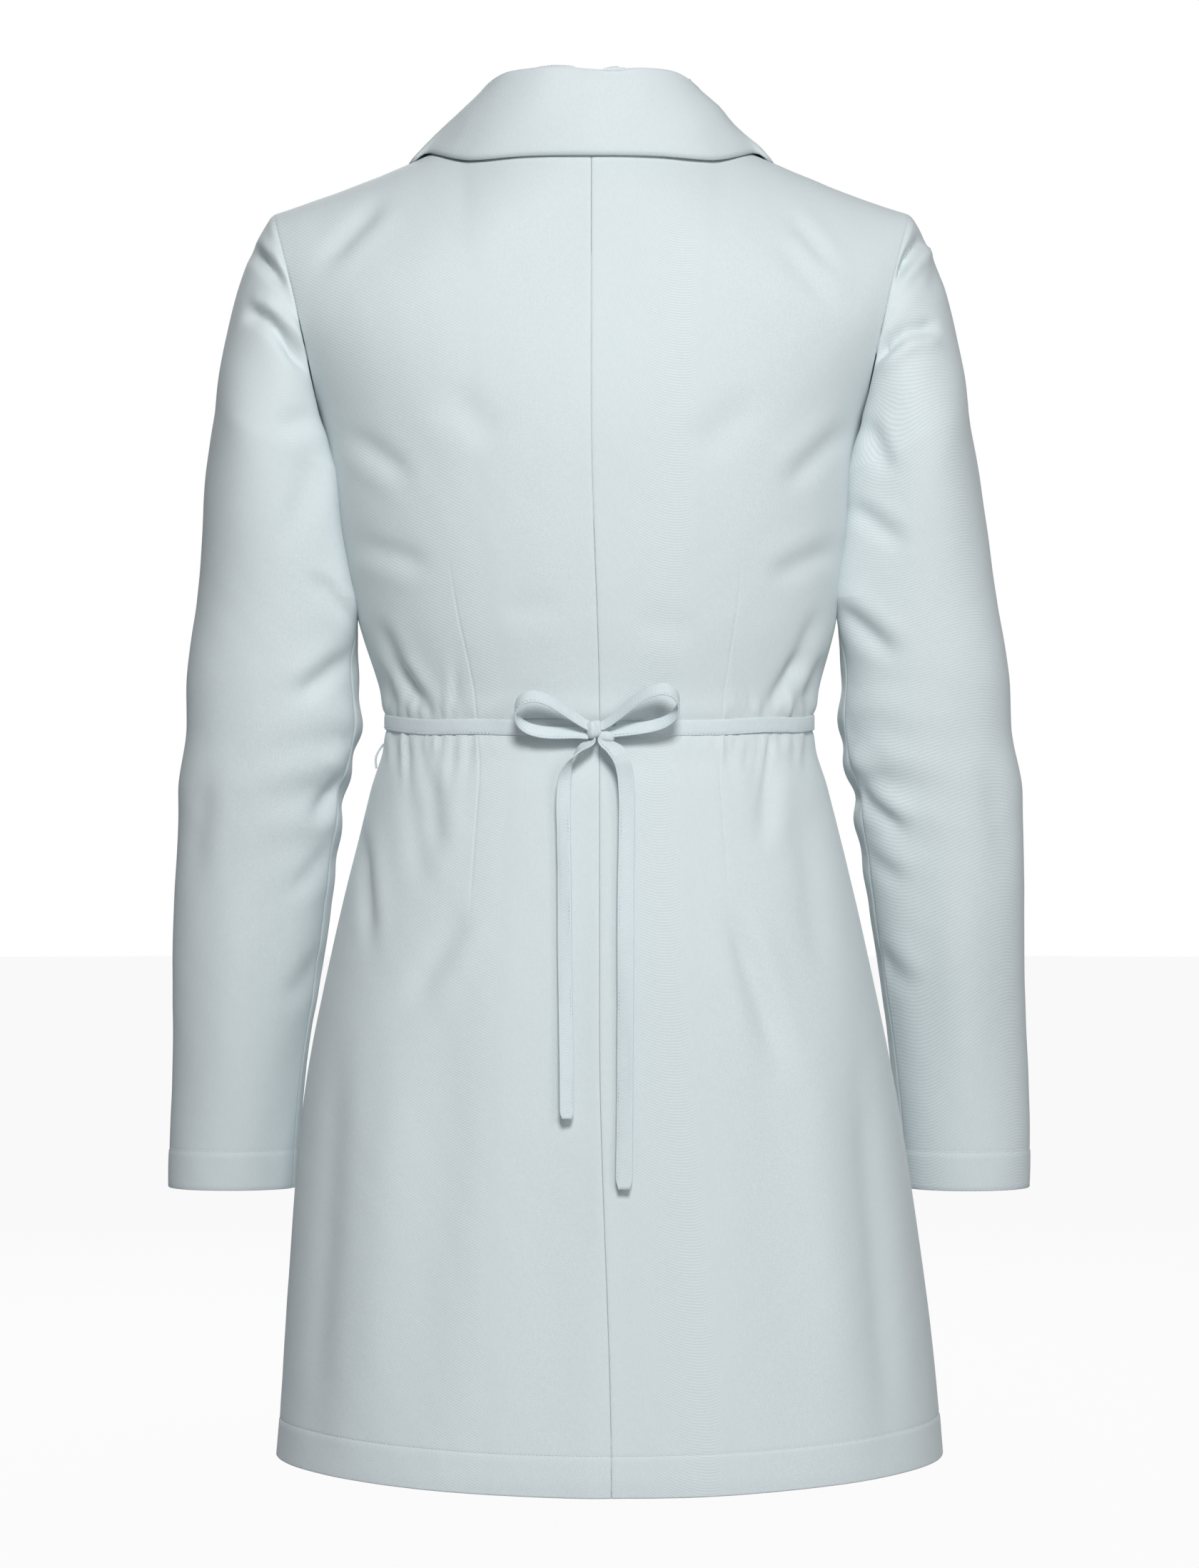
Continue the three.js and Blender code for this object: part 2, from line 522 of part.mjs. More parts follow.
// Tails: each hangs from under the knot down the back of the skirt.
const TAILS = {
  left: [[5, 99, -379.4], [12, 103.5, -384.5], [18.5, 105, -392], [21.5, 104.5, -402],
    [22.3, 105.5, -416], [21.8, 108, -434], [21, 111.5, -458], [20.6, 115, -484],
    [20.4, 118, -510], [20.2, 120.5, -536], [20.2, 123, -562], [20.2, 125.5, -586], [20.2, 127.5, -606]],
  right: [[-2, 99.5, -378.7], [-9, 105.5, -384], [-13.5, 107, -391], [-16, 106, -401],
    [-17, 106.5, -416], [-16.8, 109, -438], [-16, 113, -466], [-15.5, 117, -496], [-15.2, 120, -526],
    [-15, 122.5, -556], [-15, 125.5, -586], [-15, 128.5, -616], [-15, 132, -648]],
};
for (const [hand, route] of Object.entries(TAILS)) {
  add(`tie_tail_${hand}`, tape(curve(vectors(route), 30), SASH.width, SASH.thick,
    (t) => new THREE.Vector3(smooth(0, 0.12, t), 1 - smooth(0, 0.12, t), 0)));
}

// Thread carrier: a small worked loop on the left side seam, just under the sash.
const CARRIER = { top: 380, tall: 15, out: 4.5, radius: 0.7 };
const sideSeam = grids.back_left.grid.map((line) => line[COLUMNS]);
function sideSeamX(z) {
  const low = sideSeam.findIndex((p) => p.z < z);
  const [a, b] = [sideSeam[low - 1], sideSeam[low]];
  return lerp(a.x, b.x, (z - a.z) / (b.z - a.z));
}
const carrierRoute = [0, 0.25, 0.5, 0.75, 1].map((k) => {
  const z = -(CARRIER.top + CARRIER.tall * k);
  return [sideSeamX(z) + CARRIER.radius + SEAM + CARRIER.out * Math.sin(Math.PI * k), 0, z];
});
const thread = new THREE.Shape().absarc(0, 0, CARRIER.radius, 0, 2 * Math.PI);
add('thread_carrier', new THREE.ExtrudeGeometry(thread, {
  steps: 10, curveSegments: 4, bevelEnabled: false, extrudePath: new THREE.CatmullRomCurve3(vectors(carrierRoute)),
}));

export default coat;
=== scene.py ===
# %% [markdown]
# # A light tailored coat dress, tied with a narrow sash at the back
#
# The coat hangs as if worn: four body panels, two set-in sleeves, a turned-down collar with
# lapels, four buttons, and a sash that ends in a bow and two tails. Every piece of cloth starts
# as a flat bmesh grid, whose vertices are laid on the body's shape and then pushed into folds,
# seams and hems. Lengths in this file are millimetres until a mesh is finished.

# %% Load the frame
import math
import random

import bmesh
import bpy
import numpy as np
from mathutils import Matrix, Vector


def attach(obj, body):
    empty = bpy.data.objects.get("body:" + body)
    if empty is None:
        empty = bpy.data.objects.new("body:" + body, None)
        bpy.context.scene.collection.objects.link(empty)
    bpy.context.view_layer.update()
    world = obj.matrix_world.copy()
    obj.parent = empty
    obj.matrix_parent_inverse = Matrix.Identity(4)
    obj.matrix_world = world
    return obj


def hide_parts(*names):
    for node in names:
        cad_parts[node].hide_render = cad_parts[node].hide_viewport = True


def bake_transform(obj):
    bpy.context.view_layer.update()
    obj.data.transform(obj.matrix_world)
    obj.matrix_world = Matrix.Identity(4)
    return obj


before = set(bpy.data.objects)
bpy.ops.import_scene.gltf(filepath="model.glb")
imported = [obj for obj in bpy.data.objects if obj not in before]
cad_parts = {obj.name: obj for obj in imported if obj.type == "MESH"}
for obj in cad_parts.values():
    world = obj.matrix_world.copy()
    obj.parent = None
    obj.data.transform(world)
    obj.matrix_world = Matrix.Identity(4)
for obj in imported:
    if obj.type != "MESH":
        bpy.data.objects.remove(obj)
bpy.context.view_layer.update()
MM = 0.001
SIDES = (("left", 1), ("right", -1))

# %% [markdown]
# ## Camera
#
# The coat is looked at from behind, level with its waist, through a long lens, so that its
# outline stays nearly parallel. The wearer faces -Y, so the camera stands at +Y.

# %% Camera
camera = bpy.data.objects.new("camera", bpy.data.cameras.new("camera"))
bpy.context.scene.collection.objects.link(camera)
camera.data.lens, camera.data.sensor_width = 117.6, 36.0
camera.location = (0.0, 3.2, -0.405)
camera.rotation_euler = (math.pi / 2, 0.0, math.pi)
bpy.context.scene.camera = camera
print("camera", tuple(round(v, 3) for v in camera.location))

# %% [markdown]
# ## Small tools for curves and shapes
#
# `lerp` and `smooth` blend between two values. `along` turns a short list of stations into a
# smooth curve and reads it from a dense table, so that it works on whole arrays at once.


# %% Blends and stations
def lerp(a, b, k):
    return a + (b - a) * k


def smooth(a, b, k):
    t = np.clip((np.asarray(k, float) - a) / (b - a), 0, 1)
    return t * t * (3 - 2 * t)


def along(stations, column):
    at = [s[0] for s in stations]
    value = [s[column] for s in stations]
    last = len(at) - 1
    slope = [(value[min(i + 1, last)] - value[max(i - 1, 0)])
             / (at[min(i + 1, last)] - at[max(i - 1, 0)]) for i in range(last + 1)]
    places, heights = [], []
    for i in range(last):
        span = at[i + 1] - at[i]
        for t in np.linspace(0, 1, 60, endpoint=i == last - 1):
            t2, t3 = t * t, t ** 3
            places.append(at[i] + t * span)
            heights.append((2 * t3 - 3 * t2 + 1) * value[i] + (t3 - 2 * t2 + t) * span * slope[i]
                           + (3 * t2 - 2 * t3) * value[i + 1] + (t3 - t2) * span * slope[i + 1])
    return lambda k: np.interp(k, places, heights)


# %% [markdown]
# ## The body's shape
#
# A tailored body is an oval at every height. Its half width and its depths behind and in front
# of the side seams are given at named levels. The shoulders roll over from back to front.

# %% Levels of the body
NECK_HALF, NECK_DROP, NECK_RISE = 78, 18, 0.9
SHOULDER = {"half": 199, "drop": 49, "y": -6, "round": 95}
UNDERARM = {"drop": 178, "half": 170, "back": 110, "front": 108}
WAIST = {"drop": 369, "half": 133, "back": 90, "front": 93}
HEM = {"drop": 822, "half": 207, "back": 146, "front": 144}
HEM_DIP = 9
OVAL = 2.2
BODICE = [(0, 0, 0, 0), (0.34, 0.43, 0.55, 0.85), (0.65, 0.73, 0.9, 1.6)]
SKIRT = [(0.09, 0.135, 0.143, 0.08), (0.29, 0.432, 0.393, 0.22), (0.51, 0.703, 0.554, 0.38),
         (0.775, 0.892, 0.768, 0.69), (1, 1, 1, 1)]


def between(low, high, rows):
    return [(-lerp(low["drop"], high["drop"], d), lerp(low["half"], high["half"], h),
             lerp(low["back"], high["back"], b), lerp(low["front"], high["front"], f))
            for d, h, b, f in rows]


STATIONS = between(WAIST, HEM, SKIRT[::-1]) + between(WAIST, UNDERARM, BODICE) + [
    (-178, 170, 110, 108), (-113.5, 203, 100, 82), (-49, 228, 80, 48), (0, 235, 56, 30)]
half_width = along(STATIONS, 1)
DEPTH = {"back": along(STATIONS, 2), "front": along(STATIONS, 3)}
print("half widths:", [round(float(half_width(z))) for z in (-178, -369, -822)])


# %% Lean, shoulders and the oval
def lean(z):
    return 5 * smooth(-369, -178, z) - 7 * smooth(-550.2, -822, z)


def shoulder_line(x):
    t = (x - NECK_HALF) / (SHOULDER["half"] - NECK_HALF)
    return np.where(x < NECK_HALF, NECK_RISE * (NECK_HALF - x),
                    -SHOULDER["drop"] * (1.25 * t - 0.25 * t * t))


def body_y(x, z, face):
    share = np.minimum(np.abs(x) / half_width(z), 1)
    oval = DEPTH[face](z) * (1 - share ** OVAL) ** (1 / OVAL)
    below = np.clip((shoulder_line(np.abs(x)) - z) / SHOULDER["round"], 0, 1)
    roll = np.sqrt(1 - (1 - below) ** 2)
    return (oval * roll + 0.1) * (1 if face == "back" else -1) + SHOULDER["y"] * (1 - roll)


def armhole_x(z):
    down = np.clip((z + 49) / (49 - 178), 0, 1)
    return lerp(UNDERARM["half"], SHOULDER["half"], (1 - down) ** 1.35)


def front_edge(z):
    return lerp(-18, NECK_HALF + 3, np.clip((z + 290) / 290, 0, 1))


def top_of_back(x):
    return np.where(x > NECK_HALF, shoulder_line(x), -NECK_DROP * (1 - (x / NECK_HALF) ** 2))


# %% [markdown]
# ## From a grid of places to a piece of cloth
#
# `create_grid` makes the faces and a UV map in real metres, seen from the outside, so that a
# weave keeps its scale and its slant. The cloth then gets its thickness inwards.


# %% Normals and distances on a grid
def grid_normals(points, outside):
    n = np.cross(np.gradient(points, axis=1), np.gradient(points, axis=0))
    n /= np.maximum(np.linalg.norm(n, axis=2, keepdims=True), 1e-9)
    r, c = points.shape[0] // 2, points.shape[1] // 2
    return n if np.dot(n[r, c], outside) > 0 else -n


def run_length(points, axis):
    steps = np.linalg.norm(np.diff(points, axis=axis), axis=2)
    start = np.zeros_like(np.take(steps, [0], axis=axis))
    return np.cumsum(np.concatenate([start, steps], axis=axis), axis=axis)


# %% Grid to mesh
PIECES = {}


def link(name, bm):
    mesh = bpy.data.meshes.new(name)
    bm.to_mesh(mesh)
    bm.free()
    mesh.shade_smooth()
    piece = bpy.data.objects.new(name, mesh)
    bpy.context.scene.collection.objects.link(piece)
    PIECES[name] = piece
    return piece


def cloth(name, points, uv, outside, thick, closed=False):
    rows, columns = points.shape[:2]
    bm = bmesh.new()
    bmesh.ops.create_grid(bm, x_segments=columns - 1, y_segments=rows - 1, size=1)
    layer = bm.loops.layers.uv.new("cloth")
    place = {v: (round((1 - v.co.y) / 2 * (rows - 1)), round((v.co.x + 1) / 2 * (columns - 1)))
             for v in bm.verts}
    for face in bm.faces:
        for loop in face.loops:
            loop[layer].uv = uv[place[loop.vert]]
    for v, at in place.items():
        v.co = points[at] * MM
    if closed:
        bmesh.ops.remove_doubles(bm, verts=bm.verts, dist=1e-6)
    bm.normal_update()
    middle = min(bm.faces, key=lambda f: (f.calc_center_median()
                                          - Vector(points[rows // 2, columns // 2] * MM)).length)
    if middle.normal.dot(Vector(outside)) < 0:
        bmesh.ops.reverse_faces(bm, faces=bm.faces)
    piece = link(name, bm)
    if thick:
        wall = piece.modifiers.new("thickness", "SOLIDIFY")
        wall.thickness, wall.offset, wall.use_even_offset = thick * MM, -1, False
        settle(piece)
    return piece


def settle(piece):
    graph = bpy.context.evaluated_depsgraph_get()
    graph.update()
    mesh = bpy.data.meshes.new_from_object(piece.evaluated_get(graph))
    piece.modifiers.clear()
    old, piece.data = piece.data, mesh
    bpy.data.meshes.remove(old)
    mesh.name = piece.name


# %% [markdown]
# ## Stitches
#
# A stitch is a small bead of thread that sinks at both ends. A line of them is one object, and
# each has only twenty faces, because there are a few thousand on a coat.


# %% A line of stitches
def stitches(name, line, normals, pitch=2.4, size=(1.7, 0.42, 0.34), sink=0.02):
    line, normals = np.asarray(line, float), np.asarray(normals, float)
    steps = np.concatenate([[0], np.cumsum(np.linalg.norm(np.diff(line, axis=0), axis=1))])
    count = max(int(steps[-1] / pitch), 1)
    bm = bmesh.new()
    for i in range(count):
        k = (i + 0.5) * pitch

        def read(values, at):
            return Vector([np.interp(at, steps, values[:, j]) for j in range(3)])
        here = read(line, k)
        ahead = (read(line, k + pitch / 3) - read(line, k - pitch / 3)).normalized()
        up = read(normals, k)
        up = (up - ahead * up.dot(ahead)).normalized()
        turn = Matrix((ahead, up.cross(ahead), up)).transposed().to_4x4()
        grow = Matrix.Diagonal((*[s / 2 * MM for s in size], 1))
        bmesh.ops.create_icosphere(bm, subdivisions=1, radius=1,
                                   matrix=Matrix.Translation((here - up * sink) * MM) @ turn @ grow)
    return link(name, bm)


# %% [markdown]
# ## Folds
#
# A fold is a soft ridge or valley along a short line on the cloth, seen square from behind or
# from in front. It rises from nothing at both ends. Gathers are many small folds beside the
# sash, placed by a seeded random draw so that every run is the same.


# %% Height of all folds at each point
def fold_height(x, z, folds):
    total = np.zeros_like(x)
    for x0, z0, x1, z1, height, width in folds:
        dx, dz = x1 - x0, z1 - z0
        length2 = dx * dx + dz * dz
        t = ((x - x0) * dx + (z - z0) * dz) / length2
        off = ((x - x0) * dz - (z - z0) * dx) / math.sqrt(length2)
        ends = smooth(-0.12, 0.3, t) * (1 - smooth(0.6, 1.12, t))
        shape = np.exp(-(off / width) ** 2) - 0.35 * np.exp(-((off - 1.9 * width) / width) ** 2)
        total += height * shape * ends
    return total


def gather_height(x, z, belt, gathers_):
    total = np.zeros_like(x)
    for at, way, reach, slant, height, width in gathers_:
        far = (z - belt) * way - 4.2
        off = x - at - slant * far
        fade = (1 - smooth(0.15, 1.0, far / reach)) * smooth(-3, 1.5, far)
        spread = width * (1 + 0.6 * np.clip(far / reach, 0, 1))
        total += height * fade * (np.exp(-(off / spread) ** 2)
                                  - 0.55 * np.exp(-((off - 1.7 * spread) / spread) ** 2))
    return total


def gathers(side, rng):
    out = []
    for way, count, inner, deep in ((-1, 17, 76, 1.0), (1, 14, 78, 0.9)):
        for i in range(count):
            at = lerp(inner, 131, (i + rng.uniform(0.05, 0.95)) / count)
            reach = rng.choice((9, 12, 16, 22, 34, 48)) * rng.uniform(0.8, 1.2)
            out.append((side * at, way, reach, side * rng.uniform(-0.16, 0.2) * (1 if way < 0 else -1.4),
                        -deep * rng.uniform(0.5, 1.7), rng.uniform(1.2, 2.5)))
        for i in range(8):
            at = lerp(13, 73, (i + rng.uniform(0.1, 0.9)) / 8)
            out.append((side * at, way, rng.uniform(5, 15), side * rng.uniform(-0.2, 0.2),
                        -deep * rng.uniform(0.2, 0.8) * (1 if way < 0 else 0.5), rng.uniform(1.0, 2.0)))
    return out


RNG = random.Random(11)
BACK_FOLDS = [
    (134, -44, 173, -88, -3.0, 6.5), (-117, -56, -145, -92, -1.8, 5), (-109, -74, -145, -116, -2.0, 6),
    (127, -330, 103, -363, -3.2, 4.5), (-124, -326, -102, -362, -3.6, 4.5),
    (136, -306, 116, -354, -2.4, 5), (-134, -300, -114, -352, -2.6, 5), (140, -330, 124, -362, -2.6, 4),
    (-139, -326, -124, -360, -2.6, 4),
    (104, -396, 99, -450, -3.0, 6.5), (-104, -392, -99, -446, -2.4, 6), (118, -400, 108, -470, -2.0, 7),
    (148, -432, 140, -506, -3.4, 5), (-124, -420, -136, -530, -2.0, 9),
    (-80, -484, -112, -580, -3.4, 7), (-70, -500, -96, -590, 1.6, 9), (82, -482, 116, -540, -2.4, 8),
    (60, -470, 78, -800, 2.6, 24), (-58, -470, -82, -800, 2.4, 26), (120, -560, 146, -822, 2.8, 18),
    (-124, -560, -152, -822, 3.0, 18), (22, -620, 26, -822, -1.6, 22), (-30, -640, -34, -822, -1.4, 22),
    (160, -560, 176, -820, -2.2, 9), (-160, -560, -178, -820, -2.0, 9),
    (60, -196, 96, -164, -1.8, 11), (-60, -206, -98, -168, -1.8, 11),
    (116, -218, 156, -188, -2.4, 7), (-114, -224, -155, -184, -2.6, 7),
    (24, -296, 60, -300, -0.9, 9), (-60, -312, -20, -306, -0.9, 9),
    (104, -272, 152, -256, -2.0, 7), (-104, -280, -151, -258, -2.2, 7),
]
FRONT_FOLDS = [
    (60, -400, 96, -800, 2.6, 26), (-60, -400, -98, -800, 2.6, 26), (130, -560, 150, -822, 2.2, 18),
    (-130, -560, -150, -822, 2.2, 18), (84, -250, 140, -205, -1.8, 8), (-84, -246, -140, -208, -1.8, 8),
    (70, -300, 120, -330, -1.8, 7), (-70, -304, -120, -332, -1.8, 7),
    (110, -92, 160, -120, -1.4, 8), (-110, -90, -160, -122, -1.4, 8),
]
GATHERS = {"back": [], "front": []}
for _, side in SIDES:
    GATHERS["back"] += gathers(side, RNG)
    GATHERS["front"] += [g for g in gathers(side, RNG) if abs(g[0]) > 40]
print(len(BACK_FOLDS), "folds and", len(GATHERS["back"]), "gathers behind")

# %% [markdown]
# ## Body panels
#
# The columns of a panel run from the centre seam or the front edge out to the side. One of them
# follows the long dart that shapes the waist, and more columns lie beside each seam, so that
# the ditch of a seam is real shape. The cloth turns in at every seam, and the hem turns up
# inside.

# %% Columns and rows
DART = along([(-860, 104), (-700, 95), (-494, 79.5), (-450, 77), (-422, 75), (-396, 73.5),
              (-367, 75), (-350, 76.5), (-324, 81), (-300, 85.5), (-260, 90), (-178, 96), (0, 108)], 1)
DART_TOP, DART_END = -258, -500
NEAR = np.array([0, 0.5, 1.1, 1.9])
CENTRE = np.concatenate([NEAR / 86, np.linspace(3.2, 82.8, 26) / 86, 1 - NEAR[:0:-1] / 86])
SIDEWARD = np.concatenate([NEAR / 140, np.linspace(3.2, 136.8, 42) / 140, 1 - NEAR[::-1] / 140])
TOP_ROWS = np.concatenate([[0, 0.006, 0.014], np.linspace(0.025, 1, 46)])
LOW_ROWS = np.concatenate([
    np.linspace(-178, -795, 206)[1:], [-796.2, -796.9, -797.5, -798.1, -798.8],
    np.linspace(-800, -821, 8), [-821.6]])


# %% Lay one panel on the body
def panel_base(side, face):
    inside = (lambda z: np.full_like(z, 0.04)) if face == "back" else front_edge
    def shares(z, edge):
        start = inside(z)
        bend = np.arcsin(np.clip((DART(z) - start) / (edge - start), 0.2, 0.9))
        angle = np.concatenate([bend * CENTRE, bend + (math.pi / 2 - bend) * SIDEWARD[1:]])
        return np.sin(angle)
    rows = []
    top = shares(np.array([-60.0]), np.array([195.0]))
    for k in TOP_ROWS:
        down = k ** 1.25
        edge_z = -lerp(SHOULDER["drop"], UNDERARM["drop"], down)
        share = lerp(top, shares(np.array([-178.0]), np.array([170.0])), down)
        start_x = lerp(inside(np.array([0.0])), SHOULDER["half"], share)
        rise = top_of_back(start_x) if face == "back" else shoulder_line(start_x)
        z = lerp(rise, -UNDERARM["drop"], down)
        begin = inside(np.array([-UNDERARM["drop"] * down]))
        x = lerp(begin, armhole_x(edge_z), share)
        rows.append((x, z))
    for level in LOW_ROWS:
        z = np.full(len(top), float(level))
        x_edge = half_width(z)
        share = shares(np.array([float(level)]), x_edge[:1])
        x = lerp(inside(z), x_edge, share)
        z = z - HEM_DIP * (1 - share ** 2) * smooth(-640, -822, level)
        rows.append((x, z))
    x = np.array([r[0] for r in rows])
    z = np.array([r[1] for r in rows])
    flip = np.where((face == "front") & (x < 0), -x, x)
    y = body_y(flip, z, face)
    if side < 0 and face == "front":
        y = y - 3.8 * (1 - smooth(26, 62, x))
    return np.stack([side * x + lean(z), y, z], axis=2)


# %% Folds, ditches and stitch lines on a panel
def ditch(distance, deep, wide):
    return -deep * np.exp(-(distance / wide) ** 2)


def panel_relief(side, face, points):
    x, z = points[..., 0], points[..., 2]
    from_inner = run_length(points, 1)
    from_outer = from_inner[:, -1:] - from_inner
    from_top = run_length(points, 0)
    to_dart = from_inner - from_inner[:, len(CENTRE) - 1:len(CENTRE)]
    folds = fold_height(x, z, BACK_FOLDS if face == "back" else FRONT_FOLDS)
    phase = 0.6 if side > 0 else 2.1
    drape = (0.9 * np.sin(x / 31 + z / 170 + phase) + 0.6 * np.sin(x / 17 - z / 120 + 2 * phase)) * \
        smooth(-390, -620, z) + 0.35 * np.sin(x / 21 + z / 27 + phase) * smooth(-300, -200, z)
    fine = 0.10 * np.sin(x / 4.3 + 2.0 * np.sin(z / 23)) * np.sin(z / 9.1 + 1.6 * np.sin(x / 31))
    height = folds + drape + fine
    height *= smooth(0, 16, from_outer) * smooth(0, 9, from_top)
    if face == "back":
        height *= smooth(0, 12, from_inner)
        height += ditch(from_inner, 0.38, 0.7) + 0.12 * np.exp(-((from_inner - 3.4) / 2.0) ** 2)
        height += 0.07 * np.sin(z / 2.9) * np.exp(-from_inner / 3.5)
    else:
        height *= smooth(0, 30, from_inner)
    dart = smooth(DART_END - 4, DART_END + 60, z) * (1 - smooth(DART_TOP - 50, DART_TOP + 4, z))
    height += dart * (ditch(to_dart, 0.34, 0.55)
                      - 0.12 * np.exp(-np.maximum(-to_dart, 0) / 7) * (to_dart <= 0)
                      + 0.06 * np.exp(-np.maximum(to_dart, 0) / 6) * (to_dart > 0)
                      + 0.08 * np.sin(z / 2.7) * np.exp(-np.abs(to_dart) / 3.5))
    height += ditch(from_outer, 0.4, 0.9) + ditch(from_top, 0.5, 0.9)
    belt = sash_middle(points[..., 1])
    press = np.exp(-((z - belt) / 5.2) ** 6)
    height += gather_height(x, z, belt, GATHERS[face]) * smooth(0, 8, from_inner) * smooth(0, 5, from_outer)
    height = height * (1 - press) - 0.9 * press
    height += 0.8 * np.exp(-((z - belt - 11) / 6) ** 2) + 0.9 * np.exp(-((z - belt + 11) / 6) ** 2)
    level = z + HEM_DIP * (1 - (np.abs(x) / 207) ** 2)
    hem = smooth(-796, -799.5, level)
    height += 0.45 * hem + ditch(level + 797.5, 0.42, 0.8)
    height += 0.10 * np.sin(from_inner * 2 * math.pi / 7.3) * np.exp(-np.abs(level + 800) / 8)
    return height


def sash_middle(y):
    return -369 + 5 * np.where(y < 0, 0.6, 0.6 - y / 90)


# %% [markdown]
# The seam allowance turns in along the sides of a panel, and the hem allowance goes round the
# bottom edge and up the inside, as it does on the real coat.


# %% Turned edges and the finished panels
CLOTH_THICK, TURN_IN, HEM_FOLD = 0.8, 3.0, 1.0
PANEL = {}


def with_turned_edges(points, normals, both, hem_rows):
    inner, outer = points[:, :1] - normals[:, :1] * TURN_IN, points[:, -1:] - normals[:, -1:] * TURN_IN
    parts = [inner, points, outer] if both else [points, outer]
    wide = np.concatenate(parts, axis=1)
    n = np.concatenate([normals[:, :1], normals, normals[:, -1:]] if both
                       else [normals, normals[:, -1:]], axis=1)
    last, up = wide[-1], np.array([0, 0, 1.0])
    turn = [last - up * HEM_FOLD * 0.7 * math.sin(a) - n[-1] * HEM_FOLD * (1 - math.cos(a))
            for a in (0.9, 1.57, 2.3)]
    back = [wide[-2 - k] - n[-2 - k] * 2 * HEM_FOLD for k in hem_rows]
    return np.concatenate([wide, np.array(turn), np.array(back)], axis=0)


def make_panel(hand, side, face):
    base = panel_base(side, face)
    outside = (0, 1, 0) if face == "back" else (0, -1, 0)
    normals = grid_normals(base, outside)
    points = base + normals * panel_relief(side, face, base)[..., None]
    normals = grid_normals(points, outside)
    PANEL[face, hand] = (points, normals)
    full = with_turned_edges(points, normals, face == "back", range(1, 15))
    right = run_length(base, 1) * (-side if face == "back" else side)
    pad = (1, 1) if face == "back" else (0, 1)
    across = np.pad(right, ((0, full.shape[0] - right.shape[0]), pad), mode="edge")
    down = run_length(full, 0)
    uv = np.stack([across, -down], axis=2) * MM
    name = f"{face}_{hand}"
    piece = cloth(name, full, uv, outside, CLOTH_THICK)
    print(name, len(piece.data.polygons), "faces, flat about",
          round(float(np.ptp(across)) * MM, 3), "by", round(float(down.max()) * MM, 3))
    return piece


for hand, side in SIDES:
    for face in ("back", "front"):
        make_panel(hand, side, face)

# %% [markdown]
# ## Sleeves
#
# A set-in sleeve starts on the edge of the armhole, fills out over the shoulder point and hangs
# down a little in front of the side seam. Its rings are ovals whose size and place are given at
# nine levels. The whole tube is worked out at once and then parted at the upper arm, where both
# halves share their vertices.


# %% Rings of the sleeve
def sleeve_drop(k):
    return lerp(194, 388, k)


def cuff_drop(k):
    return lerp(388, 661, k)


RINGS = [
    (sleeve_drop(-0.11), sleeve_drop(0.11), 70, 1.6, 2, 60),
    (sleeve_drop(0.17), sleeve_drop(0.29), 82, 2, 4, 57),
    (sleeve_drop(0.5), sleeve_drop(0.55), 98, 2.5, 8, 52),
    (sleeve_drop(0.78), sleeve_drop(0.79), 107.5, 14, 12, 49),
    (388, 388, 109, 17, 17, 47),
    (cuff_drop(0.2), cuff_drop(0.2), 102, 13, 27, 45),
    (cuff_drop(0.46), cuff_drop(0.46), 95, 6.5, 41, 42.5),
    (cuff_drop(0.73), cuff_drop(0.73), 86, 3, 55, 39.5),
    (661, 661, 81, 0, 67, 38),
]
RING_VALUE = [along([(i, *ring) for i, ring in enumerate(RINGS)], k + 1) for k in range(6)]
SPLIT = 1.8


def sleeve_lean(z):
    return np.maximum(lean(z), 0)


def sleeve_ring(at, turn):
    outer, inner_drop, width, clear, ahead, deep = [v(at) for v in RING_VALUE]
    inner = half_width(-inner_drop) + clear
    share = (1 - np.cos(turn)) / 2
    z = -lerp(outer, inner_drop, share)
    lie = np.exp(-((turn % (2 * math.pi) - (math.pi - 0.62)) / 0.44) ** 2)
    rest = smooth(-170, -198, z) * smooth(-334, -286, z)
    x = lerp(inner + width, inner, share) + sleeve_lean(z) - 12.5 * lie * rest
    return np.stack([x, deep * np.sin(turn) - ahead, z], axis=-1)


def armhole_ring(turn):
    share = (1 - np.cos(turn)) / 2
    z = -lerp(49.0, 178.0, share)
    x = armhole_x(z)
    y = np.where(np.sin(turn) > 0, body_y(x, z, "back"), body_y(x, z, "front"))
    return np.stack([x + lean(z), y, z], axis=-1)


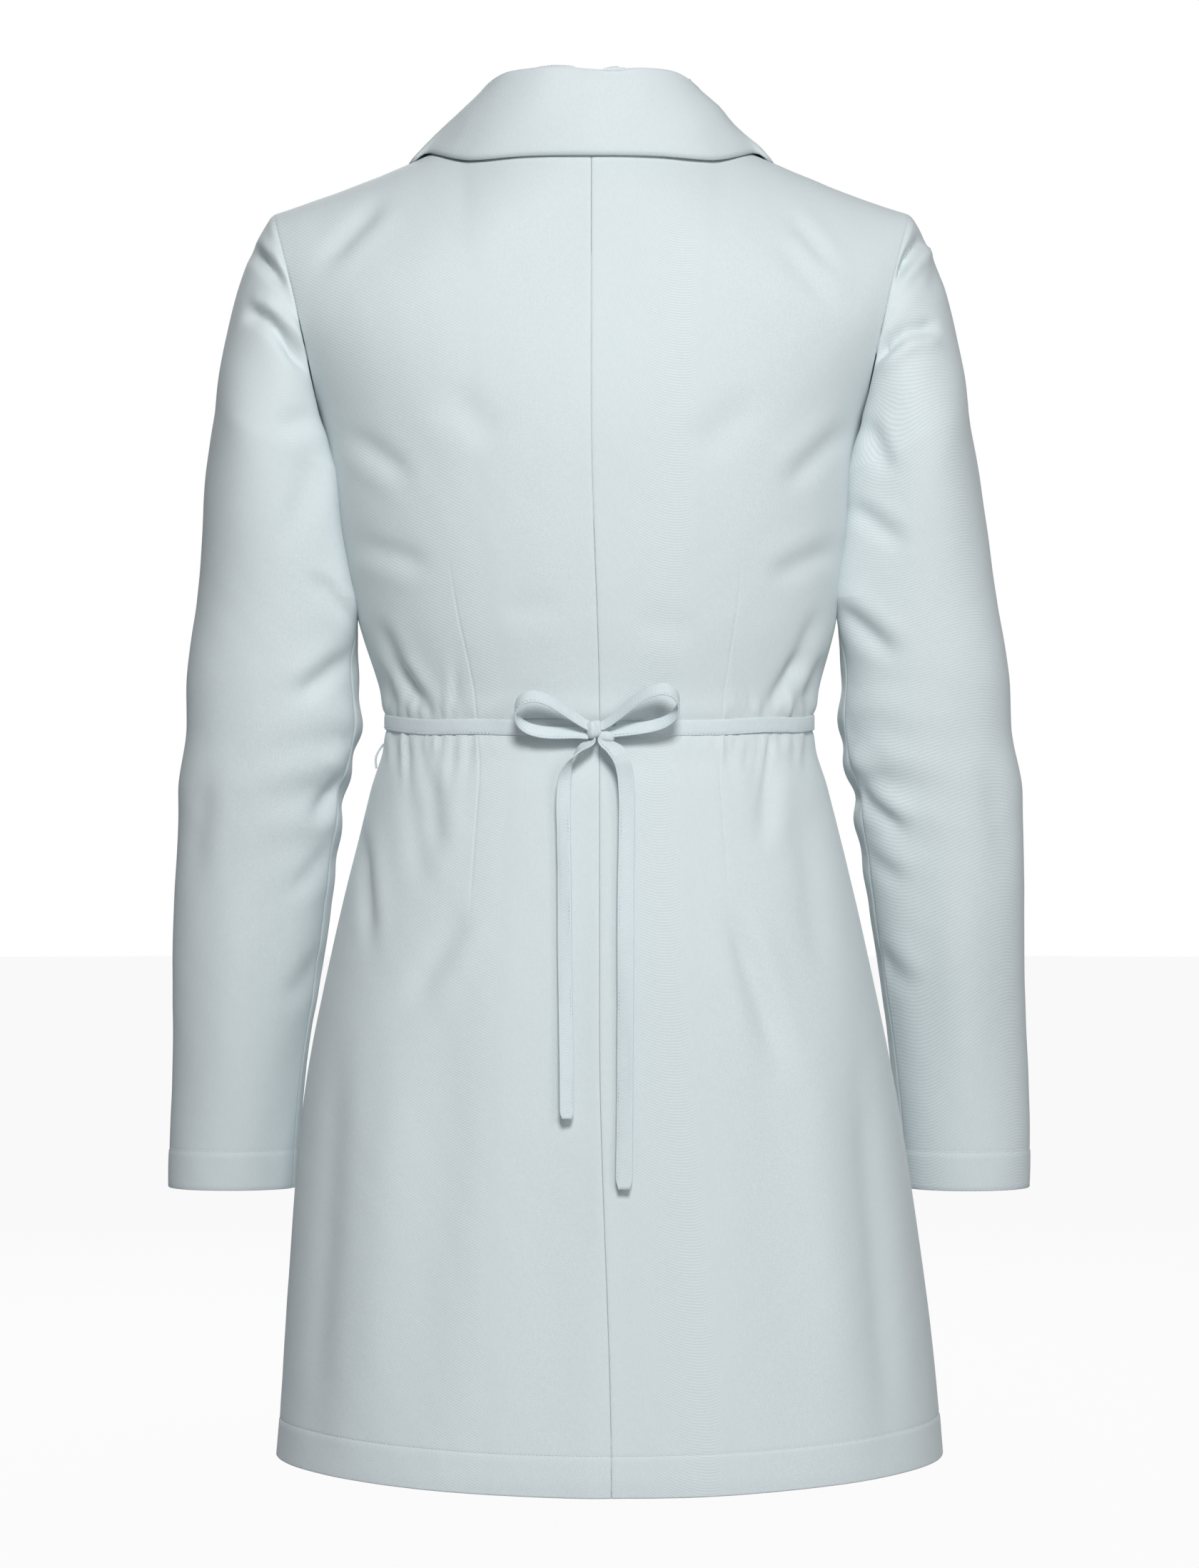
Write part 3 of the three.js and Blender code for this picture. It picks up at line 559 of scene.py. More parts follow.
# %% Folds of the sleeves
SLEEVE_BACK = {
    "left": [(204, -48, 187, -102, 2.0, 4.0), (218, -70, 193, -99, -6.5, 4.0),
             (219, -113, 199, -121, -6.0, 4.6), (204, -119, 178, -151, -7.5, 4.6),
             (207, -106, 184, -134, 2.2, 5),
             (176, -276, 152, -307, -3.6, 5),
             (186, -352, 150, -322, -3.8, 6.5), (156, -400, 180, -430, -4.2, 5.5),
             (156, -380, 172, -396, 2.0, 6),
             (236, -130, 214, -220, 1.6, 12), (173, -196, 192, -262, -2.2, 8),
             (172, -178, 200, -186, -2.0, 7),
             (168, -446, 192, -476, -2.6, 6), (172, -510, 198, -545, -2.4, 7),
             (244, -396, 256, -470, -1.8, 8), (228, -470, 236, -630, 2.0, 16),
             (204, -420, 214, -600, -1.4, 13)],
    "right": [(-195, -52, -178, -90, 1.8, 3.6), (-205, -62, -188, -83, -6.0, 3.8),
              (-192, -78, -179, -95, -6.0, 3.6), (-216, -68, -204, -104, -1.6, 5),
              (-209, -122, -186, -127, -5.5, 4.6), (-190, -125, -166, -144, -7.0, 4.4),
              (-164, -180, -178, -216, -3.4, 5.5), (-198, -104, -178, -116, 1.2, 5),
              (-144, -293, -184, -328, -4.4, 6.5), (-154, -408, -190, -436, -4.4, 5.5),
              (-152, -386, -172, -402, 2.0, 6),
              (-232, -130, -208, -220, 1.6, 12), (-154, -232, -188, -260, -2.6, 6),
              (-162, -446, -190, -468, -2.4, 6), (-170, -508, -196, -536, -2.4, 7),
              (-242, -392, -254, -466, -1.8, 8), (-222, -470, -232, -630, 2.0, 16),
              (-200, -420, -210, -600, -1.4, 13)],
}
SLEEVE_FRONT = [
    (205, -70, 186, -120, -1.8, 6), (168, -230, 200, -262, -2.4, 7), (160, -330, 206, -352, -3.0, 7),
    (162, -372, 214, -384, -3.4, 7), (160, -410, 206, -402, -2.8, 7), (236, -180, 222, -300, 1.5, 14),
    (180, -470, 214, -492, -1.8, 8), (184, -560, 214, -548, -1.6, 8), (236, -440, 242, -630, 1.4, 15),
]
COLUMN_TURN = 2 * math.pi * np.concatenate([
    NEAR / 320, np.linspace(3.6, 316.4, 92) / 320, 1 - NEAR[::-1] / 320])
SLEEVE_SEAM = math.pi - 0.34


def sleeve_relief(hand, side, points, turn):
    x, z = points[..., 0], points[..., 2]
    mirrored = np.where(side > 0, x, -x)
    rear = smooth(-0.15, 0.4, np.sin(turn))
    height = rear * fold_height(x, z, SLEEVE_BACK[hand]) \
        + (1 - rear) * fold_height(mirrored, z, SLEEVE_FRONT)
    elbow = np.exp(-((z + 398) / 52) ** 2) * np.exp(-((np.cos(turn) + 1) / 0.8) ** 2)
    height += elbow * 1.7 * np.sin(z / 5.4 + side * 0.6 + 1.4 * np.sin(turn * 2))
    height += 0.7 * np.sin(z / 27 + 2 * np.sin(turn) + side) * smooth(-200, -260, z)
    height += 0.1 * np.sin(mirrored / 4.1 + 2 * np.sin(z / 19)) * np.sin(z / 8.3 + turn)
    height *= smooth(0, 5, run_length(points, 0))
    around = run_length(points, 1)
    seam = np.minimum(around, around[:, -1:] - around)
    height = height * smooth(-4, 9, seam) + ditch(seam, 0.6, 0.9)
    height += 0.1 * np.sin(z / 2.8) * np.exp(-seam / 3)
    height += ditch(run_length(points, 0), 0.4, 1.0)
    hem = smooth(-635.5, -638.5, z)
    return height + 0.45 * hem + ditch(z + 637, 0.42, 0.8)


# %% Both sleeves
HEAD_STEPS = np.concatenate([[0, 0.008, 0.018, 0.032], np.linspace(0.05, 1, 30)])
RING_STEPS = np.concatenate([np.linspace(0, SPLIT, 36)[1:], np.linspace(SPLIT, 7.62, 112)[1:],
                             [7.64, 7.655, 7.67], np.linspace(7.69, 8, 9)])
SPLIT_ROW = len(HEAD_STEPS) + 35 - 1
SLEEVE = {}


def make_sleeve(hand, side):
    turn = SLEEVE_SEAM + COLUMN_TURN
    start, end = armhole_ring(turn), sleeve_ring(0.0, turn)
    top = (1 + np.cos(turn)) / 2
    pull = start + np.stack([27 * top, 0 * top, lerp(-18.0, -36.0, top)], axis=1)
    pull[:, 1] = 1.08 * (start[:, 1] + end[:, 1]) / 2
    pull[:, 0] -= 9 * np.exp(-((turn % (2 * math.pi) - (math.pi - 0.62)) / 0.44) ** 2)
    rows = [start * (1 - t) ** 2 + pull * 2 * t * (1 - t) + end * t * t for t in HEAD_STEPS]
    rows += [sleeve_ring(at, turn) for at in RING_STEPS]
    base = np.array(rows)
    if side < 0:
        centre = np.maximum(lean(base[..., 2]), 0)
        base[..., 0] = 2 * centre - base[..., 0]
    outward = outward_at(base, side, turn)
    normals = grid_normals(base, outward)
    normals[:, 0] = normals[:, -1] = (normals[:, 0] + normals[:, -1]) / 2
    relief = sleeve_relief(hand, side, base, turn[None, :] + 0 * base[..., 0])
    relief[:, 0] = relief[:, -1] = (relief[:, 0] + relief[:, -1]) / 2
    points = base + normals * relief[..., None]
    normals = grid_normals(points, outward)
    normals[:, 0] = normals[:, -1] = (normals[:, 0] + normals[:, -1]) / 2
    SLEEVE[hand] = (points, normals)
    around = run_length(base, 1) * side
    down = run_length(base, 0)
    uv = np.stack([around, -down], axis=2) * MM
    tuck = points[:1] + (points[:1] - points[3:4]) / np.linalg.norm(
        points[:1] - points[3:4], axis=2, keepdims=True) * TURN_IN - normals[:1] * 1.0
    upper = np.concatenate([tuck, points[:SPLIT_ROW + 1]])
    upper_uv = np.concatenate([uv[:1], uv[:SPLIT_ROW + 1]])
    cloth(f"sleeve_top_{hand}", upper, upper_uv, outward_at(upper, side, turn), CLOTH_THICK, closed=True)
    lower = points[SPLIT_ROW:]
    fold = [points[-1] - np.array([0, 0, HEM_FOLD * 0.7 * math.sin(a)])
            - normals[-1] * HEM_FOLD * (1 - math.cos(a)) for a in (0.9, 1.57, 2.3)]
    back = [points[-2 - k] - normals[-2 - k] * 2 * HEM_FOLD for k in range(12)]
    lower = np.concatenate([lower, np.array(fold), np.array(back)])
    lower_uv = np.concatenate([uv[SPLIT_ROW:], np.repeat(uv[-1:], 3, axis=0), uv[-2:-14:-1]])
    cloth(f"sleeve_arm_{hand}", lower, lower_uv, outward_at(lower, side, turn), CLOTH_THICK, closed=True)
    print("sleeve", hand, base.shape, "round", round(float(np.abs(around).max())), "mm")


def outward_at(points, side, turn):
    c = points.shape[1] // 2
    return (side * math.cos(turn[c]), math.sin(turn[c]), 0)


for hand, side in SIDES:
    make_sleeve(hand, side)

# %% [markdown]
# ## Collar
#
# The collar is one folded piece: it stands up from the neck seam, rolls over, and falls to a
# rounded outer edge. Each section is a smooth curve through a few points, and the sections
# change from the centre of the back round to the front.


# %% Smooth curve through points
def curve(points, count):
    p = [np.asarray(v, float) for v in points]
    p = [2 * p[0] - p[1]] + p + [2 * p[-1] - p[-2]]
    out = []
    for k in np.linspace(0, len(points) - 1, count):
        i = min(int(k), len(points) - 2)
        t = k - i
        a, b, c, d = p[i:i + 4]
        out.append(0.5 * (2 * b + (c - a) * t + (2 * a - 5 * b + 4 * c - d) * t * t
                          + (3 * b - a - 3 * c + d) * t ** 3))
    return np.array(out)


# %% Collar sections
COLLAR_SECTIONS = [
    (0, -15, 0, 52, 34, 0, -22, 1), (30, -12, 30, 47, 35, 38, -22, 1),
    (60, -6, 54, 31, 34, 78, -22, 1), (78, 6, 70, 8, 24, 108, -12, 0.5),
    (77, -8, 73, -14, 6, 114, -22, -1), (70, -24, 66, -36, -14, 108, -38, -1),
    (63, -38, 60, -46, -32, 100, -52, -1)]
COLLAR_VALUE = [along([(i, *s) for i, s in enumerate(COLLAR_SECTIONS)], k + 1) for k in range(8)]
COLLAR_LIFT, ROLL = 2.4, 2.6


def on_body(x, z, face, lift):
    low = min(z, float(shoulder_line(x)) - 2)
    slope_x = (body_y(x + 1, low, face) - body_y(x - 1, low, face)) / 2
    slope_z = (body_y(x, low + 1, face) - body_y(x, low - 1, face)) / 2
    out = np.array([-float(slope_x), 1, -float(slope_z)])
    out *= (lift if face == "back" else -lift) / np.linalg.norm(out)
    return np.array([x, float(body_y(x, low, face)), low]) + out


def collar_section(at):
    neck_x, neck_z, roll_x, roll_y, roll_z, edge_x, edge_z, side = [float(v(at)) for v in COLLAR_VALUE]
    blend = min(max((1 - side) / 2, 0), 1)

    def lay(x, z, lift):
        return lerp(on_body(x, z, "back", lift), on_body(x, z, "front", lift), blend)
    neck, edge = lay(neck_x, neck_z, COLLAR_LIFT), lay(edge_x, edge_z, COLLAR_LIFT + 0.8)
    roll = np.array([roll_x, roll_y, roll_z])
    out = (edge - neck) * (1, 1, 0)
    out *= ROLL / np.linalg.norm(out)
    low = np.array([0, 0, -ROLL])
    inner, outer = roll - out + low, roll + out + low
    return curve([neck, lerp(neck, inner, 0.6), inner, roll, outer,
                  lerp(outer, edge, 0.5) + 0.8 * out, edge], 44)


# %% The collar's cloth
COLLAR_STEPS = 48
half = [collar_section(k) for k in np.linspace(0, 6, COLLAR_STEPS)]
grid = np.array([h * (-1, 1, 1) for h in half[:0:-1]] + half) + np.array([5.0, 0, 0])
collar_out = grid_normals(grid, (0, -1, 0))
middle = grid.shape[0] // 2
if np.dot(collar_out[middle, -8], (0, 1, 0)) < 0:
    collar_out = -collar_out
reach = run_length(grid, 1)
to_edge, to_end = reach[:, -1:] - reach, np.minimum(run_length(grid, 0), (
    run_length(grid, 0)[-1:] - run_length(grid, 0)))
edge_roll = np.exp(-to_edge / 1.3) + np.exp(-to_end / 1.3)
swell = (0.45 * np.sin(grid[..., 0] / 19 + 0.5) + 0.35 * np.sin(grid[..., 0] / 9 + to_edge / 11)) * \
    smooth(2, 14, to_edge) * smooth(8, 30, reach)
crease = fold_height(grid[..., 0], grid[..., 2], [(-76, 14, -104, -6, -1.5, 4), (84, 10, 100, -10, -0.7, 4),
                                                  (-20, 36, 24, 37, -0.9, 5)])
grid = grid + collar_out * (swell + crease * smooth(8, 24, reach) + 0.5
                            - 0.9 * np.minimum(edge_roll, 1))[..., None]
collar_uv = np.stack([-run_length(grid, 0)[:, -1:] + 0 * reach, -reach], axis=2) * MM
cloth("collar", grid, collar_uv, collar_out[middle, grid.shape[1] // 2], 1.7)
print("collar", grid.shape, "deep", round(float(reach.max())), "mm")

# %% [markdown]
# ## Lapels
#
# A lapel is the top of the front turned back on itself. It starts at the roll line, goes round a
# small roll and lies on the front panel out to its notched edge.


# %% Lapels
LAPEL_TURN = [(0.0, 0.4), (-1.3, 1.4), (-0.9, 2.6)]


def make_lapel(hand, side):
    rows = []
    for down in np.linspace(0, 1, 70):
        z = -lerp(52, 286 if side < 0 else 228, down)
        width = 66 * min(0.62 + 3.2 * down, 1) * (1 - down ** 1.6) + 3
        edge = float(front_edge(z))
        row = []
        for dx, lift in LAPEL_TURN + [(1 + width * c, 2.9) for c in np.linspace(0, 1, 26)]:
            c = max(dx - 1, 0) / width
            x, fall = edge + dx, 14 * c * (1 - down)
            lap = 3.8 * (1 - float(smooth(26, 62, x))) if side < 0 else 0
            bulge = 1.2 * math.sin(math.pi * min(c, 1)) * (1 - down)
            y = float(body_y(abs(x), z - fall, "front")) - lift - lap - bulge
            row.append((side * x + float(lean(z)), y, z - fall))
        rows.append(row)
    points = np.array(rows)
    across = run_length(points, 1)
    uv = np.stack([across * side, -run_length(points, 0)], axis=2) * MM
    cloth(f"lapel_{hand}", points, uv, (0, -1, 0), 1.3)


for hand, side in SIDES:
    make_lapel(hand, side)
print("lapels", [len(PIECES[f"lapel_{h}"].data.polygons) for h, _ in SIDES])

# %% [markdown]
# ## Facings and pocket bags
#
# A facing is a second layer inside the neck and the front edges. The pocket bags hang inside the
# side seams, and only a look up the hem shows them.


# %% Layers inside the panels
def inside_layer(name, pieces, rows, offset, thick, outside):
    points = np.concatenate([p[rows[0]:rows[1]:2] for p, _ in pieces], axis=1)
    normals = np.concatenate([n[rows[0]:rows[1]:2] for _, n in pieces], axis=1)
    grid = points - normals * offset
    uv = np.stack([run_length(grid, 1), -run_length(grid, 0)], axis=2) * MM
    return cloth(name, grid, uv, outside, thick)


def row_at(points, z):
    return int(np.argmin(np.abs(points[:, -1, 2] - z)))


for hand, side in SIDES:
    points, normals = PANEL["front", hand]
    inside_layer(f"facing_{hand}", [(points[:, :22], normals[:, :22])],
                 (row_at(points, -250), len(points) - 8), 1.6, 0.8, (0, -1, 0))
    inside_layer(f"pocket_{hand}", [(points[:, 38:70], normals[:, 38:70])],
                 (row_at(points, -416), row_at(points, -620)), 1.7, 1.6, (0, -1, 0))
left_p, left_n = PANEL["back", "left"]
right_p, right_n = PANEL["back", "right"]
inside_layer("neck_facing", [(right_p[:, 44::-1], right_n[:, 44::-1]), (left_p[:, 1:45], left_n[:, 1:45])],
             (0, 26), 1.5, 0.8, (0, 1, 0))
print("inner layers done")

# %% [markdown]
# ## Tapes
#
# The sash, the bow and the tails are one folded tape, flat and about ten millimetres wide. Its
# section is a rounded bar, carried along a route. The width narrows where the knot grips it.


# %% A tape along a route
def tape(name, route, width, thick, across, waves=0.0, around=32, groove=0.0):
    route = np.asarray(route, float)
    tangent = np.gradient(route, axis=0)
    tangent /= np.linalg.norm(tangent, axis=1, keepdims=True)
    wide = across - tangent * np.sum(across * tangent, axis=1, keepdims=True)
    wide /= np.linalg.norm(wide, axis=1, keepdims=True)
    out = np.cross(tangent, wide)
    steps = run_length(route[:, None, :], 0)[:, 0]
    turn = np.linspace(0, 2 * math.pi, around + 1)
    flat = np.sign(np.cos(turn)) * np.abs(np.cos(turn)) ** 0.5
    tall = np.sign(np.sin(turn)) * np.abs(np.sin(turn)) ** 0.5
    tall *= 1 - 0.28 * (groove != 0) * np.exp(-((flat - groove) / 0.085) ** 2)
    width = np.broadcast_to(width, len(route))
    middle = waves * np.sin(steps / 5.7) * np.sin(steps / 17 + 1)
    cup = waves * 1.2 * np.cos(steps / 13)
    points = (route[:, None] + wide[:, None] * (flat[None, :, None] * width[:, None, None] / 2)
              + out[:, None] * (tall[None, :, None] * thick / 2 + middle[:, None, None]
                                + cup[:, None, None] * (flat[None, :, None] ** 2 - 0.5)))
    uv = np.stack([np.broadcast_to(np.abs((turn / math.pi - 1)) * width[:, None], points.shape[:2]),
                   np.broadcast_to(-steps[:, None], points.shape[:2])], axis=2) * MM
    piece = cloth(name, points, uv, tuple(out[len(route) // 2]), 0, closed=True)
    bm = bmesh.new()
    bm.from_mesh(piece.data)
    bmesh.ops.holes_fill(bm, edges=[e for e in bm.edges if e.is_boundary], sides=0)
    bmesh.ops.recalc_face_normals(bm, faces=bm.faces)
    bm.to_mesh(piece.data)
    bm.free()
    rim = route + out * (thick / 2 + middle + cup * 0.1)[:, None]
    return {"route": route, "wide": wide, "out": out, "rim": rim, "width": width, "steps": steps}


def edge_stitches(name, band, share, face=1, pitch=2.4, first=0, last=None):
    rim = band["route"] + face * (band["rim"] - band["route"])
    line = rim + band["wide"] * (share * band["width"] / 2)[:, None]
    return stitches(name, line[first:last], (band["out"] * face)[first:last], pitch, (1.65, 0.5, 0.44), 0.06)


# %% The sash round the waist
def sash_route():
    def at(x, face):
        z = -366.0 if face == "front" else -369.0
        for _ in range(3):
            y = float(body_y(abs(x) * 0.9999, z, face))
            z = float(sash_middle(y))
        return np.array([x + float(lean(z)), y, z])
    spread = np.sin(np.linspace(0, math.pi / 2, 60))
    edge = float(half_width(-366.0))
    left = [at(lerp(9.0, edge, s), "back") for s in spread]
    front = [at(edge * math.cos(a), "front") for a in np.linspace(0, math.pi, 120)[1:-1]]
    right = [at(-lerp(9.0, edge, s), "back") for s in spread[::-1]]
    route = np.array(left + front + right)
    lift = np.where(route[:, 0] < 18, 3.8 * (1 - smooth(26, 62, -route[:, 0])),
                    3.8 * (1 - smooth(18, 62, route[:, 0])))
    route[:, 1] -= np.where(route[:, 1] < 0, lift * smooth(0, -60, route[:, 1]), 0)
    steps = run_length(route[:, None, :], 0)[:, 0]
    even = np.linspace(0, steps[-1], 340)
    route = np.stack([np.interp(even, steps, route[:, j]) for j in range(3)], axis=1)
    out = np.cross(np.gradient(route, axis=0), (0, 0, 1.0))
    out /= np.linalg.norm(out, axis=1, keepdims=True)
    if out[0, 1] < 0:
        out = -out
    route[:, 2] += 0.5 * np.sin(even / 23) + 0.3 * np.sin(even / 9.5)
    return route + out * 0.35


SASH_WIDTH, SASH_THICK = 9.5, 1.7
route = sash_route()
up = np.tile([0, 0, 1.0], (len(route), 1))
sash = tape("sash", route, SASH_WIDTH, SASH_THICK, up, waves=0.13, groove=-0.74)
outer = 1 if sash["out"][5, 1] > 0 else -1
edge_stitches("sash_stitches", sash, -0.74, outer)
print("sash", round(float(sash["steps"][-1])), "mm long between the knot's sides")

# %% [markdown]
# ## Bow
#
# Each loop of the bow is a hairpin of the same tape, tilted so that its upper face shows. The
# knot is a wrap of tape over them, with creases running into it, and a small lump below where
# the tails come out.

# %% Loops
KNOT_Y = 97.8
LOOP_PLUMP, LOOP_ROOT = 13.5, 2.5
LOOP_STEPS = 130
STITCH_PLACE = 0.74  # share of the half width at which the loops are edge-stitched
LOOPS = {
    "left": {"root": (5.5, -373), "reach": 47, "rise": 18},
    "right": {"root": (-2, -372.5), "reach": 49, "rise": 23},
}


def loop_route(side, root, reach, rise):
    """Return a bow loop's middle line: a drop shape, slim at the knot and round at the tip."""
    turn = np.linspace(0, 2 * math.pi, 25)
    out = reach * (1 - np.cos(turn)) / 2
    up = -LOOP_PLUMP * np.sin(turn) * np.sin(turn / 2) ** 2 - LOOP_ROOT * np.cos(turn / 2)
    lift = math.radians(rise)
    x = root[0] + side * (out * math.cos(lift) - up * math.sin(lift))
    z = root[1] + out * math.sin(lift) + up * math.cos(lift)
    return np.stack([x, KNOT_Y + 0.5 + 0.5 * np.maximum(z + 372, 0), z], axis=1)


for hand, side in SIDES:
    path = curve(loop_route(side, **LOOPS[hand]), LOOP_STEPS)
    share = np.linspace(0, 1, LOOP_STEPS)
    grip = np.minimum(smooth(-0.08, 0.24, share), smooth(1.08, 0.76, share))
    tilt = np.tile([0, 0.70, -0.71], (LOOP_STEPS, 1))
    loop = tape(f"loop_{hand}", path, 6.6 + 3.4 * grip, 1.4, tilt, waves=0.15, groove=STITCH_PLACE)
    for k, face in enumerate((1, -1)):
        edge_stitches(f"loop_stitches_{hand}_{k}", loop, STITCH_PLACE, face, first=14, last=-14)
print("loops made")


# %% Knot
def make_knot():
    bm = bmesh.new()
    bmesh.ops.create_uvsphere(bm, u_segments=80, v_segments=48, radius=1)
    for v in bm.verts:
        x, y, z = v.co
        box = (abs(x) ** 3.4 + abs(y) ** 2.6 + abs(z) ** 3.4) ** (-1 / 3.2)
        x, y, z = x * box, y * box, z * box
        crease = 0.05 * math.cos(9 * x + 0.8 * z) + 0.09 * math.exp(-((x + 0.55 - 0.2 * z) / 0.1) ** 2) \
            + 0.08 * math.exp(-((x + 0.25 - 0.25 * z) / 0.08) ** 2)
        v.co = Vector((x * 4.5 + 0.5 * z, y * (5.6 - 5.6 * crease), z * 5.3 - 0.9 * x))
        v.co = (v.co + Vector((3.2, KNOT_Y + 0.6, -371.9))) * MM
    made = bmesh.ops.create_uvsphere(bm, u_segments=64, v_segments=36, radius=1)
    for v in made["verts"]:
        x, y, z = v.co
        box = (abs(x) ** 3 + abs(y) ** 2.2 + abs(z) ** 2.4) ** (-1 / 2.6)
        x, y, z = x * box, y * box, z * box
        rim = 0.10 * math.exp(-((x + 0.62) / 0.12) ** 2) - 0.07 * math.exp(-((x + 0.35) / 0.1) ** 2)
        v.co = Vector((x * 5.2, y * 3.7 * (1 + rim), z * 3.4 * (1 + rim) + 0.14 * x * 5))
        v.co = (v.co + Vector((-4.0, KNOT_Y + 0.8, -376.0))) * MM
    layer = bm.loops.layers.uv.new("cloth")
    for face in bm.faces:
        for item in face.loops:
            item[layer].uv = (item.vert.co.x, item.vert.co.z)
    return link("knot", bm)


make_knot()
print("knot", [round(d * 1000, 1) for d in PIECES["knot"].dimensions])

# %% [markdown]
# ## Tails
#
# The tails are free ends: flat cords that hang from under the knot down the back of the skirt.
# Each is a limp tape with a length of its own, and it ends in a small folded tuck.

# %% Tails
TAILS = {
    "left": [(5, 99, -379.4), (12, 103.5, -384.5), (18.5, 105, -392), (21.5, 104.5, -402),
             (22.3, 105.5, -416), (21.8, 108, -434), (21, 111.5, -458), (20.6, 115, -484),
             (20.4, 118, -510), (20.2, 120.5, -536), (20.2, 123, -562), (20.2, 125.5, -586),
             (20.2, 127.5, -606)],
    "right": [(-2, 99.5, -378.7), (-9, 105.5, -384), (-13.5, 107, -391), (-16, 106, -401),
              (-17, 106.5, -416), (-16.8, 109, -438), (-16, 113, -466), (-15.5, 117, -496),
              (-15.2, 120, -526), (-15, 122.5, -556), (-15, 125.5, -586), (-15, 128.5, -616),
              (-15, 132, -648)],
}
# Each tail also runs a little way up inside the knot, where it can't be seen.
TAIL_SEAT = {"left": (2.8, 97.8, -376), "right": (-1, 98, -376)}
TAIL_WIDE = {"left": 8.6, "right": 10.0}
TAIL_PATH = {}
for hand, side in SIDES:
    path = curve([TAIL_SEAT[hand], *TAILS[hand]], 190)
    share = np.linspace(0, 1, len(path))
    path[:, 1] += 0.8 * np.sin(share * 13 + side) * smooth(0.1, 0.4, share)
    path[:, 0] += 0.5 * np.sin(share * 9 + 2 * side) * smooth(0.1, 0.4, share)
    face_on = smooth(0, 0.13, share) if side < 0 else smooth(0.02, 0.5, share)
    swing = 0.28 * np.sin(share * 7 + side) * smooth(0.15, 0.5, share)
    across = np.stack([face_on, (1 - face_on) * (0.9 if side > 0 else 0.5) + swing,
                       (1 - face_on) * (-0.5 if side > 0 else 1.0)], axis=1)
    width = TAIL_WIDE[hand] * lerp(0.62, 1, smooth(0, 0.1, share)) \
        * lerp(1, 0.72, smooth(0.985, 1.0, share))
    tail = tape(f"tail_{hand}", path, width, 1.4, across, waves=0.2, groove=0.72)
    rear = 1 if tail["out"][120, 1] > 0 else -1
    edge_stitches(f"tail_stitches_{hand}", tail, 0.72 * (1 if side < 0 else -1) *
                  (1 if tail["wide"][120, 0] > 0 else -1), rear, first=12, last=-2)
    TAIL_PATH[hand] = (path, float(tail["steps"][-1]))
print("tails", {h: round(v[1]) for h, v in TAIL_PATH.items()}, "mm")

# %% [markdown]
# ## Hanger loop and thread carrier
#
# The hanger loop is a narrow tape inside the neck. The thread carrier is two strands of thread
# twisted together, sewn to the left side seam just under the sash.

# %% Small loops
HANGER = []
for k in np.linspace(-1, 1, 41):
    z = -NECK_DROP - 6 - 22 * (1 - k * k)
    y = float(body_y(abs(k) * 26, z, "back")) - 7.2
    HANGER.append((k * 26 + 5, y, z))
tape("hanger", HANGER, 6, 1.1, np.tile([0, 0, 1.0], (41, 1)), waves=0.1)


def make_carrier():
    z = -380 - 15 * np.linspace(0, 1, 60)
    out = 0.9 + 2.6 * np.sin(np.linspace(0, math.pi, 60))
    seam = half_width(z) + lean(z)
    middle = np.stack([seam + out, 0 * z, z], axis=1)
    bm = bmesh.new()
    for phase in (0, math.pi):
        spin = np.linspace(0, 9 * math.pi, 60) + phase
        line = middle + 0.42 * np.stack([np.cos(spin), np.sin(spin), 0 * spin], axis=1)
        tape("strand", line, 0.8, 0.8, np.tile([0, 1.0, 0], (60, 1)), around=8)
        strand = PIECES.pop("strand")
        bm.from_mesh(strand.data)
        bpy.data.objects.remove(strand)
    link("carrier", bm)


make_carrier()
print("carrier", [round(d * 1000, 1) for d in PIECES["carrier"].dimensions])

# %% [markdown]
# ## Buttons
#
# A button is a turned disc with a raised rim, four holes and a cross of thread. The disc is a
# profile spun round its axis; the holes are small dark cups set into its dish.

# %% Buttons
BUTTON_PROFILE = [(0, 0), (9.0, 0), (9.7, 0.35), (10, 1.1), (10, 2.3), (9.6, 3.0), (8.9, 3.35),
                  (8.1, 3.25), (7.3, 2.75), (6.2, 2.5), (0, 2.5)]


def make_button(index):
    z = -(318 + index * 107)
    above, below = float(body_y(0, z + 10, "front")), float(body_y(0, z - 10, "front"))
    place = Matrix.Translation(Vector((float(lean(z)), float(body_y(0, z, "front")) - 4.4, z)) * MM) \
        @ Matrix.Rotation(math.atan2(above - below, -20), 4, "X") @ Matrix.Scale(MM, 4)
    bm = bmesh.new()
    verts = [bm.verts.new((r, h, 0)) for r, h in BUTTON_PROFILE]
    edges = [bm.edges.new(pair) for pair in zip(verts, verts[1:])]
    bmesh.ops.spin(bm, geom=verts + edges, cent=(0, 0, 0), axis=(0, 1, 0), angle=2 * math.pi,
                   steps=64, use_merge=True)
    bmesh.ops.remove_doubles(bm, verts=bm.verts, dist=1e-4)
    bmesh.ops.recalc_face_normals(bm, faces=bm.faces)
    for x in (-1.7, 1.7):
        for y in (-1.7, 1.7):
            bmesh.ops.create_cone(bm, cap_ends=True, segments=20, radius1=0.95, radius2=0.8,
                                  depth=0.5, matrix=Matrix.Translation((x, 2.45, y))
                                  @ Matrix.Rotation(math.pi / 2, 4, "X"))
    bm.transform(place)
    disc = link(f"button_{index + 1}_disc", bm)
    disc.data.set_sharp_from_angle(angle=math.radians(40))
    bm = bmesh.new()
    for x in (-1.7, 1.7):
        for k in range(5):
            turn = Matrix.Translation((x + 0.36 * (k - 2), 2.95 - 0.08 * abs(k - 2), 0))
            bmesh.ops.create_uvsphere(bm, u_segments=10, v_segments=8, radius=1,
                                      matrix=turn @ Matrix.Diagonal((0.26, 0.34, 2.1, 1)))
    bm.transform(place)
    link(f"button_{index + 1}_thread", bm)


